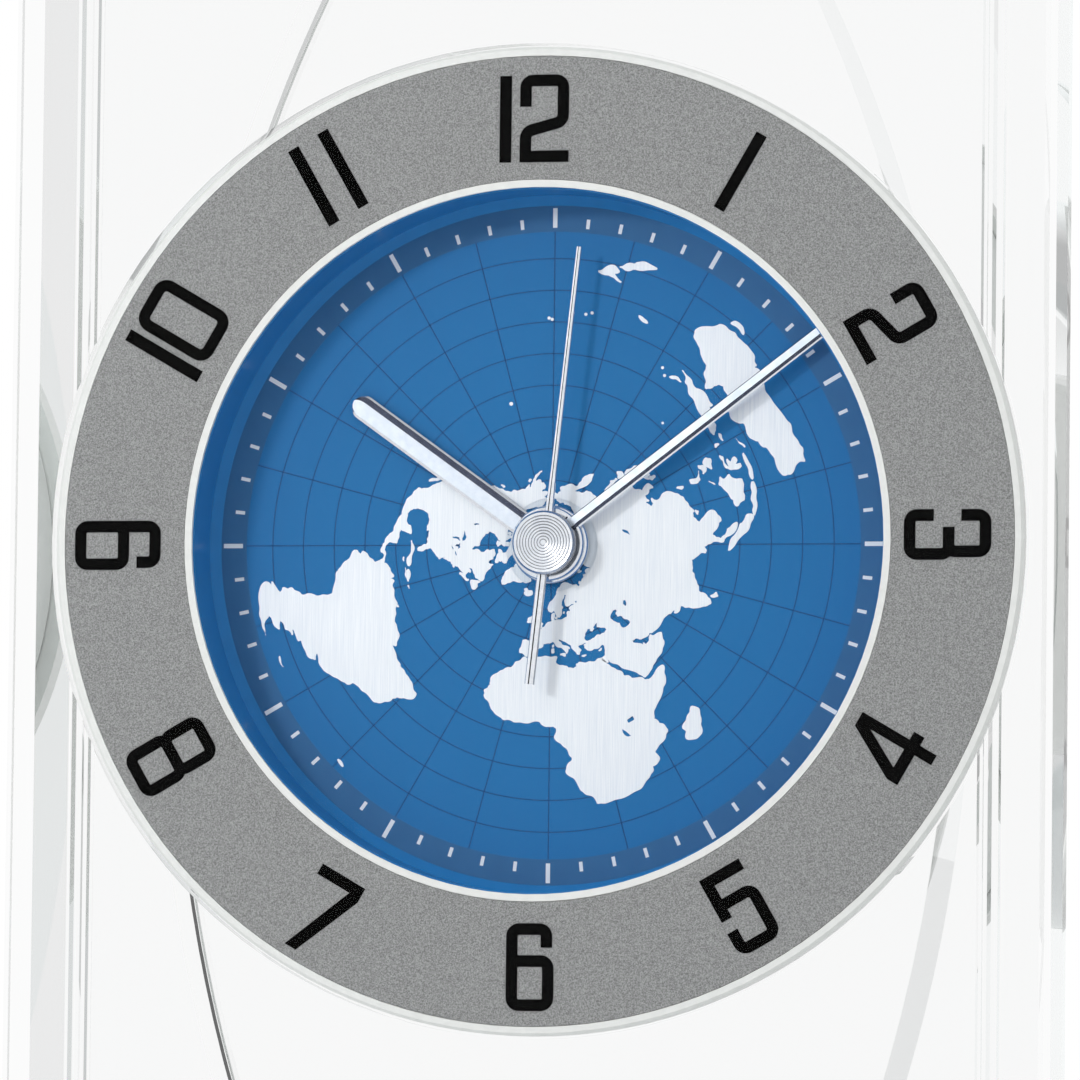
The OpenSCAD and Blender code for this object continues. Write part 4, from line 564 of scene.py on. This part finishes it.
def rounded(loop, grow):
    """Breaks each side of an outline a little, cuts the corners and moves it outwards."""
    broken = []
    for (ax, az), (bx, bz) in zip(loop, loop[1:] + loop[:1]):
        shift = RAGGED * math.sin(97 * ax + 61 * bz)
        broken += [(ax, az), ((ax + bx) / 2 + (bz - az) * shift, (az + bz) / 2 - (bx - ax) * shift)]
    loop = []
    for (ax, az), (bx, bz) in zip(broken, broken[1:] + broken[:1]):
        loop += [(ax * near + bx * (1 - near), az * near + bz * (1 - near)) for near in (0.75, 0.25)]
    area = sum(ax * bz - bx * az for (ax, az), (bx, bz) in zip(loop, loop[1:] + loop[:1]))
    step = grow if area > 0 else -grow
    out = []
    for (ax, az), (x, z), (bx, bz) in zip(loop[-1:] + loop[:-1], loop, loop[1:] + loop[:1]):
        dx, dz = bx - ax, bz - az
        length = math.hypot(dx, dz) or 1
        out.append((x + dz / length * step, z - dx / length * step))
    return out


def outline(text):
    """A coast's corners on the dial."""
    return [on_map(*map(float, pair.split())) for pair in text.replace("\n", " ").split(",")]


HOLES = {
    "americas": ["superior", "michigan", "huron", "erie", "ontario", "winnipeg", "bear", "slave"],
    "eurasia": ["black_sea", "caspian", "aral", "baikal", "ladoga"],
    "africa": ["victoria_lake", "tanganyika"],
}
LAKES = {name for group in HOLES.values() for name in group}
MAINLAND_GROW, ISLAND_GROW, LAKE_GROW = 0.05, 0.06, -0.02
shores = {name: outline(text) for name, text in COASTS.items()}
land_bm = bmesh.new()
for name, shore in shores.items():
    if name not in LAKES:
        grow = MAINLAND_GROW if name in HOLES else ISLAND_GROW
        lakes = [rounded(shores[lake], LAKE_GROW) for lake in HOLES.get(name, [])]
        plate(land_bm, [[rounded(shore, grow)] + lakes], DIAL_Y - LAND_TOP, DIAL_Y + SUNK, True)
for lon, lat, size in ISLETS:
    x, z = on_map(lon, lat)
    plate(land_bm, [[[(x + px, z + pz) for px, pz in circle(size, 14)]]], DIAL_Y - LAND_TOP, DIAL_Y + SUNK)
land = finished(land_bm, "land_plates", [LAND])

# Lines of the grid, on the sea and under the land
GRID_STEP = 15
MERIDIAN_W, PARALLEL_W = 0.13, 0.12
LONG_FROM, SHORT_FROM = 3.3, 6.6


def flat_ring(bm, r0, r1, front, back):
    """A flat ring about the hands' axis."""
    turned(bm, [(r0, front), (r1, front), (r1, back), (r0, back)])


grid_bm = bmesh.new()
for k in range(360 // GRID_STEP):
    bar(grid_bm, SHORT_FROM if k % 2 else LONG_FROM, MAP_R, MERIDIAN_W, GRID_STEP * k,
        DIAL_Y - GRID_TOP, DIAL_Y + SUNK)
for k in range(2, 10):
    r = DEGREE * GRID_STEP * k + 0.12
    flat_ring(grid_bm, r - PARALLEL_W / 2, r + PARALLEL_W / 2, DIAL_Y - GRID_TOP, DIAL_Y + SUNK)
grid = finished(grid_bm, "sea_grid", [LINES])

# Chapter band with its marks
MARK_FROM = 33.0
HOUR_MARK, MINUTE_MARK = (35.05, 0.46), (34.0, 0.37)
band_bm = bmesh.new()
flat_ring(band_bm, MAP_R, BAND_R, DIAL_Y - BAND_TOP, DIAL_Y + SUNK)
band = finished(band_bm, "chapter_band", [BAND])
marks_bm = bmesh.new()
for k in range(60):
    reach, width = MINUTE_MARK if k % 5 else HOUR_MARK
    bar(marks_bm, MARK_FROM, reach, width, 6 * k, DIAL_Y - MARK_TOP, DIAL_Y + 0.01)
marks = finished(marks_bm, "minute_marks", [MARKS])


# Numerals: strokes of one width with rounded corners
STROKE, CORNER_R, CORNER_STEPS = 1.2, 0.75, 8
NUMERAL_R, NUMERAL_TOP = 43.6, 0.06


def trace(points, radius, closed):
    """The middle line of a stroke, with its corners rounded. Gives points and unit directions.
    radius holds for all corners, or is a dict with the corners that differ."""
    out = []
    n = len(points)
    span = range(n) if closed else range(1, n - 1)
    if not closed:
        d = Vector(points[1]) - Vector(points[0])
        out.append((Vector(points[0]), d.normalized()))
    for i in span:
        p = Vector(points[i])
        a, b = (p - Vector(points[i - 1])).normalized(), (Vector(points[(i + 1) % n]) - p).normalized()
        turn = a.angle(b)
        r = radius.get(i, CORNER_R) if isinstance(radius, dict) else radius
        if r == 0:
            half = (a + b).normalized()
            out.append((p, half / max(half.dot(a), 0.2)))
            continue
        sign = 1 if a.x * b.y - a.y * b.x > 0 else -1
        side = Vector((-a.y, a.x)) * sign
        centre = p - a * (r * math.tan(turn / 2)) + side * r
        for k in range(CORNER_STEPS + 1):
            ang = sign * turn * k / CORNER_STEPS
            spoke = Matrix.Rotation(ang, 2) @ (-side * r)
            out.append((centre + spoke, Matrix.Rotation(ang, 2) @ a))
    if not closed:
        d = Vector(points[-1]) - Vector(points[-2])
        out.append((Vector(points[-1]), d.normalized()))
    return out


def stroke(points, radius=CORNER_R, closed=False):
    """The outline of a stroke along points, or its two outlines where it is closed."""
    mid = trace(points, radius, closed)
    left = [(p.x - d.y * STROKE / 2, p.y + d.x * STROKE / 2) for p, d in mid]
    right = [(p.x + d.y * STROKE / 2, p.y - d.x * STROKE / 2) for p, d in mid]
    if not closed:
        return [left + right[::-1]]
    return sorted((left, right), key=lambda rim: -max(x for x, _ in rim))


def eye(x0, x1, y0, y1, r=CORNER_R):
    """A closed stroke round a box."""
    return stroke([(x0, y0), (x1, y0), (x1, y1), (x0, y1)], r, True)


def block(x0, x1, y0, y1):
    """A filled box."""
    return [[(x0, y0), (x1, y0), (x1, y1), (x0, y1)]]


def two(x0, x1, y0, y1):
    """The figure 2 in a box."""
    left, right, low, high = x0 + STROKE / 2, x1 - STROKE / 2, y0 + STROKE / 2, y1 - STROKE / 2
    return [stroke([(left, y1 - 3.3), (left, high), (right, high), (right, y1 - 4.85), (left, y1 - 5.9),
                    (left, low), (x1, low)], {3: 0.95, 4: 0.95, 5: 0})]


# Parts of each numeral, in millimetres from its own centre
NUMERALS = {
    12: [block(-4.18, -2.95, -4.61, 4.36)] + two(-2.05, 3.11, -4.61, 4.46),
    1: [block(-1.14, 0.07, -4.75, 4.11)],
    2: two(-3.21, 1.93, -4.79, 4.14),
    3: [stroke([(-2.36, 0.9), (-2.36, 3.4), (1.36, 3.4), (1.36, -0.4), (-1.15, -0.4)]),
        stroke([(-1.15, -0.4), (1.61, -0.4), (1.61, -4.44), (-2.36, -4.44), (-2.36, -1.95)])],
    4: [block(0.75, 1.89, -4.0, 4.89), block(-2.75, 2.82, -2.0, -0.75),
        [[(0.29, 4.89), (0.76, 4.89), (0.76, 3.3), (-1.4, -0.76), (-2.75, -0.76)]]],
    5: [stroke([(2.45, 3.83), (-1.68, 3.83), (-1.68, -0.46)], 0),
        stroke([(-1.68, 1.08), (2.11, 1.08), (2.11, -3.97), (-1.76, -3.97), (-1.76, -1.75)], 0.8)],
    6: [stroke([(1.72, 1.68), (1.72, 3.58), (-1.9, 3.58), (-1.9, -4.22), (1.9, -4.22), (1.9, 0.3),
                (-1.9, 0.3)])],
    7: [block(-2.32, 2.89, 2.51, 3.71),
        [[(1.64, 2.52), (2.89, 2.52), (2.89, 2.04), (-0.32, -5.4), (-1.64, -5.4)]]],
    8: [eye(-1.76, 2.06, -0.54, 3.29), eye(-1.79, 2.29, -4.72, -0.54)],
    9: [eye(-2.4, 1.51, 0.12, 4.72), stroke([(1.51, 0.6), (1.51, -3.26), (-2.2, -3.26), (-2.2, -1.3)])],
    10: [block(-3.79, -2.5, -4.07, 4.86), eye(-1.26, 3.4, -3.47, 4.36, 0.95)],
    11: [block(-2.93, -1.66, -4.32, 4.68), block(0.64, 1.89, -4.32, 4.68)],
}
numeral_bm = bmesh.new()
for number, parts in NUMERALS.items():
    cx, cz = polar(NUMERAL_R, 30 * number)
    # Those in the lower half stand with their feet outwards
    a = math.radians(30 * number + (180 if 4 <= number <= 8 else 0))
    plate(numeral_bm, [[[(cx + x * math.cos(a) + z * math.sin(a), cz - x * math.sin(a) + z * math.cos(a))
                         for x, z in rim] for rim in part] for part in parts], -NUMERAL_TOP, SUNK)
numerals = finished(numeral_bm, "hour_numerals", [INK])


# Hands
def blade(bm, clock, stations, section, back):
    """A bevelled bar: its cross-section is drawn out from width to width. stations are (distance, width)
    along the hand, and section is (share of width, depth) across it."""
    reach, width = stations[0]
    corners = [(share * width, y) for share, y in section] + [(0.5 * width, back), (-0.5 * width, back)]
    end = bm.faces.new([bm.verts.new((x, y, reach)) for x, y in corners])
    drawn = list(end.verts)
    for (r0, w0), (r1, w1) in zip(stations, stations[1:]):
        grown = bmesh.ops.extrude_face_region(bm, geom=[end])["geom"]
        tip = [v for v in grown if isinstance(v, bmesh.types.BMVert)]
        end = next(f for f in grown if isinstance(f, bmesh.types.BMFace))
        bmesh.ops.translate(bm, vec=(0, 0, r1 - r0), verts=tip)
        bmesh.ops.scale(bm, vec=(w1 / w0, 1, 1), verts=tip)
        drawn += tip
    bmesh.ops.rotate(bm, cent=(0, 0, 0), matrix=Matrix.Rotation(math.radians(clock), 3, "Y"), verts=drawn)


def painted_reflection_look(clock, stations, section, painted_reflection_slots):
    """Which material a face of a blade takes, bright metal or a painted dark or pale reflection, by the facet
    of the section that it belongs to.
    """
    back_turn = Matrix.Rotation(math.radians(-clock), 3, "Y")

    def look_of(face):
        spot = back_turn @ face.calc_center_median()
        normal = back_turn @ face.normal
        if normal.y > -0.3 or not stations[0][0] <= spot.z <= stations[-1][0]:
            return 0
        for (r0, w0), (r1, w1) in zip(stations, stations[1:]):
            if r0 <= spot.z <= r1:
                share = spot.x / (w0 + (w1 - w0) * (spot.z - r0) / (r1 - r0))
        for (s0, _), (s1, _), slot in zip(section, section[1:], painted_reflection_slots):
            if s0 <= share <= s1:
                return slot
        return 0
    return look_of


def round_end(reach, width, radius):
    """The stations of a blade's round tip."""
    return [(reach - radius * (1 - math.sin(math.radians(t))), width * max(math.cos(math.radians(t)), 0.04))
            for t in range(0, 91, 10)]


def front_of(node):
    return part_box(node)[0][1] * 1000 - RING_FRONT


def boss(bm, y, r, bore, thick):
    """A hand's hub with a chamfered rim."""
    turned(bm, [(bore, y + 0.06), (bore + 0.25, y + 0.01), (r - 0.35, y + 0.01), (r - 0.12, y + 0.08),
                (r, y + 0.22), (r, y + thick), (bore, y + thick)])


def hand(name, node, clock, stations, section, painted_reflection_slots, thick, hub):
    """A faceted blade with its hub, instead of the plain one. Its facets take bright metal or a painted dark
    or pale reflection.
    """
    bm = bmesh.new()
    y = front_of(node)
    section = [(share, y + dy) for share, dy in section]
    blade(bm, clock, stations, section, y + thick)
    hub(bm, y)
    return finished(bm, name, [BRIGHT, PAINTED_SHADE_AND_REFLECTION, PAINTED_PALE_REFLECTION], painted_reflection_look(clock, stations, section, painted_reflection_slots), 14)


# The looks of the facets: 0 is bright metal, 1 a painted dark reflection and 2 a painted pale reflection
HOUR_W = 2.58
hour = hand("hour_hand_faceted", "hour_hand", HOUR_ANGLE,
            [(3.2, HOUR_W)] + round_end(25.84, HOUR_W, HOUR_W / 2),
            [(-0.5, 0.17), (-0.39, 0.06), (0.19, 0.01), (0.42, 0.13), (0.5, 0.24)], [0, 2, 1, 0], 0.4,
            lambda bm, y: boss(bm, y, 4.05, 2.11, 0.64))
minute = hand("minute_hand_faceted", "minute_hand", MINUTE_ANGLE, [(2.2, 1.38), (35.84, 1.28)],
              [(-0.5, 0.12), (-0.44, 0.05), (0.12, 0.01), (0.38, 0.12), (0.5, 0.17)], [1, 2, 1, 0], 0.35,
              lambda bm, y: boss(bm, y, 3.85, 1.21, 0.74))
second = hand("second_hand_ridged", "second_hand", SECOND_ANGLE,
              [(-14.69, 1.03), (-3.5, 1.03), (3.4, 0.84), (7.5, 0.63), (30.88, 0.54)],
              [(-0.5, 0.14), (-0.4, 0.04), (-0.14, 0.03), (-0.08, 0.1), (-0.01, 0.03), (0.38, 0.04),
               (0.5, 0.14)], [0, 0, 1, 1, 0, 0], 0.29,
              lambda bm, y: flat_ring(bm, 0.52, 1.18, y + 0.3, y + 0.64))

# Turned cap: a bright face with a groove between each two ridges, painted shade on the grooves' floors, and a
# painted dark reflection on its wall
GROOVES, GROOVE_FROM, GROOVE_STEP = 9, 0.24, 0.305
RIDGE_Y, GROOVE_Y = 0.03, 0.07
CAP_FACE_R, CAP_R, CAP_THICK = 2.99, 3.3, 0.99
cap_y = front_of("hand_cap")
profile = [(0, RIDGE_Y)]
for i in range(GROOVES):
    r = GROOVE_FROM + GROOVE_STEP * i
    profile += [(r, RIDGE_Y), (r + 0.08, GROOVE_Y), (r + 0.14, GROOVE_Y), (r + 0.26, RIDGE_Y)]
profile += [(CAP_FACE_R, RIDGE_Y), (3.1, 0.01), (CAP_R, 0.2), (CAP_R, CAP_THICK), (0, CAP_THICK)]
cap_bm = bmesh.new()
turned(cap_bm, [(r, cap_y + y) for r, y in profile], closed=False)


def cap_shade_and_reflection_look(face):
    """1, painted dark reflection for the wall and painted shade for the grooves' floors, and 0, bright, for
    the rest.
    """
    spot = face.calc_center_median()
    r = Vector(spot.xz).length
    return int(r > CAP_R - 0.02 or (r < CAP_FACE_R and abs(spot.y - cap_y - GROOVE_Y) < 0.01))


cap = finished(cap_bm, "cap_grooved", [BRIGHT, PAINTED_SHADE_AND_REFLECTION], cap_shade_and_reflection_look, 20)

# Clear washer on the dial under the hour hand
washer_bm = bmesh.new()
turned(washer_bm, [(2.6, DIAL_Y - 0.3), (4.7, DIAL_Y - 0.3), (4.86, DIAL_Y - 0.18), (4.88, DIAL_Y),
                   (2.6, DIAL_Y)])
washer = finished(washer_bm, "clear_washer", [TINTED], smooth=30)

# Which body each piece moves with, which plain piece it stands for, and its slot
for obj, body, name in ((hour, "hour", "hour_hand"), (minute, "minute", "minute_hand"),
                        (second, "second", "second_hand"), (cap, "second", "hand_cap")):
    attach(obj, body)
    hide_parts(name)
for obj, name in ((land, "blue_print"), (grid, "blue_print"), (band, "blue_print"), (marks, "blue_print"),
                  (numerals, "grey_grain"), (washer, "clear_plastic")):
    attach(obj, "case")


# Floor, lamp, world and camera. Clear plastic and metal see a room that is white in front, behind and at
# the left, and dark at the right, above and below.
WHITE_LIGHT = (1, 1, 1, 1)
LEFT_SHARE = -1.15
ROOM_TONES = (("From Min", 0.25), ("From Max", 0.87), ("To Min", 0.15), ("To Max", 1.0))


def room(nt):
    """Strength of the white seen in each direction from the clock."""
    coord = nt.nodes.new("ShaderNodeTexCoord")
    unit = nt.nodes.new("ShaderNodeVectorMath")
    unit.operation = "NORMALIZE"
    split = nt.nodes.new("ShaderNodeSeparateXYZ")
    depth = nt.nodes.new("ShaderNodeMath")
    depth.operation = "ABSOLUTE"
    left = nt.nodes.new("ShaderNodeMath")
    left.operation = "MULTIPLY"
    left.inputs[1].default_value = LEFT_SHARE
    widest = nt.nodes.new("ShaderNodeMath")
    widest.operation = "MAXIMUM"
    spread = nt.nodes.new("ShaderNodeMapRange")
    for key, value in ROOM_TONES:
        spread.inputs[key].default_value = value
    nt.links.new(coord.outputs["Object" if nt.nodes.get("Principled BSDF") else "Generated"], unit.inputs[0])
    nt.links.new(unit.outputs["Vector"], split.inputs["Vector"])
    nt.links.new(split.outputs["Y"], depth.inputs[0])
    nt.links.new(depth.outputs["Value"], widest.inputs[0])
    nt.links.new(split.outputs["X"], left.inputs[0])
    nt.links.new(left.outputs["Value"], widest.inputs[1])
    nt.links.new(widest.outputs["Value"], spread.inputs["Value"])
    return spread.outputs["Result"]


FLOOR = material("floor_paint", srgb(240, 240, 240), 0.7)
nt = FLOOR.node_tree
path = nt.nodes.new("ShaderNodeLightPath")
glow = nt.nodes.new("ShaderNodeEmission")
glow.inputs["Color"].default_value = WHITE_LIGHT
nt.links.new(room(nt), glow.inputs["Strength"])
mix = nt.nodes.new("ShaderNodeMixShader")
nt.links.new(path.outputs["Is Transmission Ray"], mix.inputs["Fac"])
nt.links.new(nt.nodes["Principled BSDF"].outputs["BSDF"], mix.inputs[1])
nt.links.new(glow.outputs["Emission"], mix.inputs[2])
nt.links.new(mix.outputs["Shader"], nt.nodes["Material Output"].inputs["Surface"])
FLOOR_HALF, FLOOR_GAP = 4, 0.0002
floor_bm = bmesh.new()
bmesh.ops.create_grid(floor_bm, x_segments=1, y_segments=1, size=FLOOR_HALF)
floor_mesh = bpy.data.meshes.new("floor")
floor_bm.to_mesh(floor_mesh)
floor_bm.free()
floor_mesh.materials.append(FLOOR)
floor = bpy.data.objects.new("floor", floor_mesh)
floor.location.z = -FLOOR_GAP
bpy.context.scene.collection.objects.link(floor)


def lamp(name, place, aim, size, power):
    data = bpy.data.lights.new(name, "AREA")
    data.shape = "DISK"
    data.size = size
    data.energy = power
    obj = bpy.data.objects.new(name, data)
    obj.location = place
    obj.rotation_euler = (Vector(aim) - Vector(place)).to_track_quat("-Z", "Y").to_euler()
    obj.visible_transmission = False
    bpy.context.scene.collection.objects.link(obj)


# One small lamp from the upper left, which gives the hands their shadows
centre = FACE.translation
lamp("key_lamp", centre + Vector((-0.36, -0.62, 0.21)), centre, 0.1, 1.25)

# The world lights the clock evenly, is white for the camera, and is the room for plastic and metal
WORLD_STRENGTH = 0.75
world = bpy.data.worlds.new("studio")
world.use_nodes = True
bpy.context.scene.world = world
nt = world.node_tree
path = nt.nodes.new("ShaderNodeLightPath")
seen = nt.nodes.new("ShaderNodeMath")
seen.operation = "MAXIMUM"
nt.links.new(path.outputs["Is Transmission Ray"], seen.inputs[0])
nt.links.new(path.outputs["Is Glossy Ray"], seen.inputs[1])
last = nt.nodes["Background"]
last.inputs["Color"].default_value = WHITE_LIGHT
last.inputs["Strength"].default_value = WORLD_STRENGTH
for ask, strength in ((seen.outputs["Value"], room(nt)), (path.outputs["Is Camera Ray"], None)):
    white = nt.nodes.new("ShaderNodeBackground")
    white.inputs["Color"].default_value = WHITE_LIGHT
    if strength:
        nt.links.new(strength, white.inputs["Strength"])
    mix = nt.nodes.new("ShaderNodeMixShader")
    nt.links.new(ask, mix.inputs["Fac"])
    nt.links.new(last.outputs[0], mix.inputs[1])
    nt.links.new(white.outputs["Background"], mix.inputs[2])
    last = mix
nt.links.new(last.outputs["Shader"], nt.nodes["World Output"].inputs["Surface"])

# The camera of the photo, fitted to the ring and the dial
camera_data = bpy.data.cameras.new("camera")
camera_data.sensor_width = 36
camera_data.lens = 321.4
camera_data.clip_start = 0.05
camera_data.clip_end = 20
camera = bpy.data.objects.new("camera", camera_data)
right = Vector((0.9758, 0.2185, 0.0114))
up = Vector((0.0036, -0.0683, 0.9977))
ahead = Vector((-0.2188, 0.9734, 0.0675))
turn = Matrix((right, up, -ahead)).transposed().to_4x4()
camera.matrix_world = Matrix.Translation((0.217358, -0.9778, 0.028098)) @ turn
bpy.context.scene.collection.objects.link(camera)
bpy.context.scene.camera = camera

bpy.context.scene.view_settings.view_transform = "Standard"
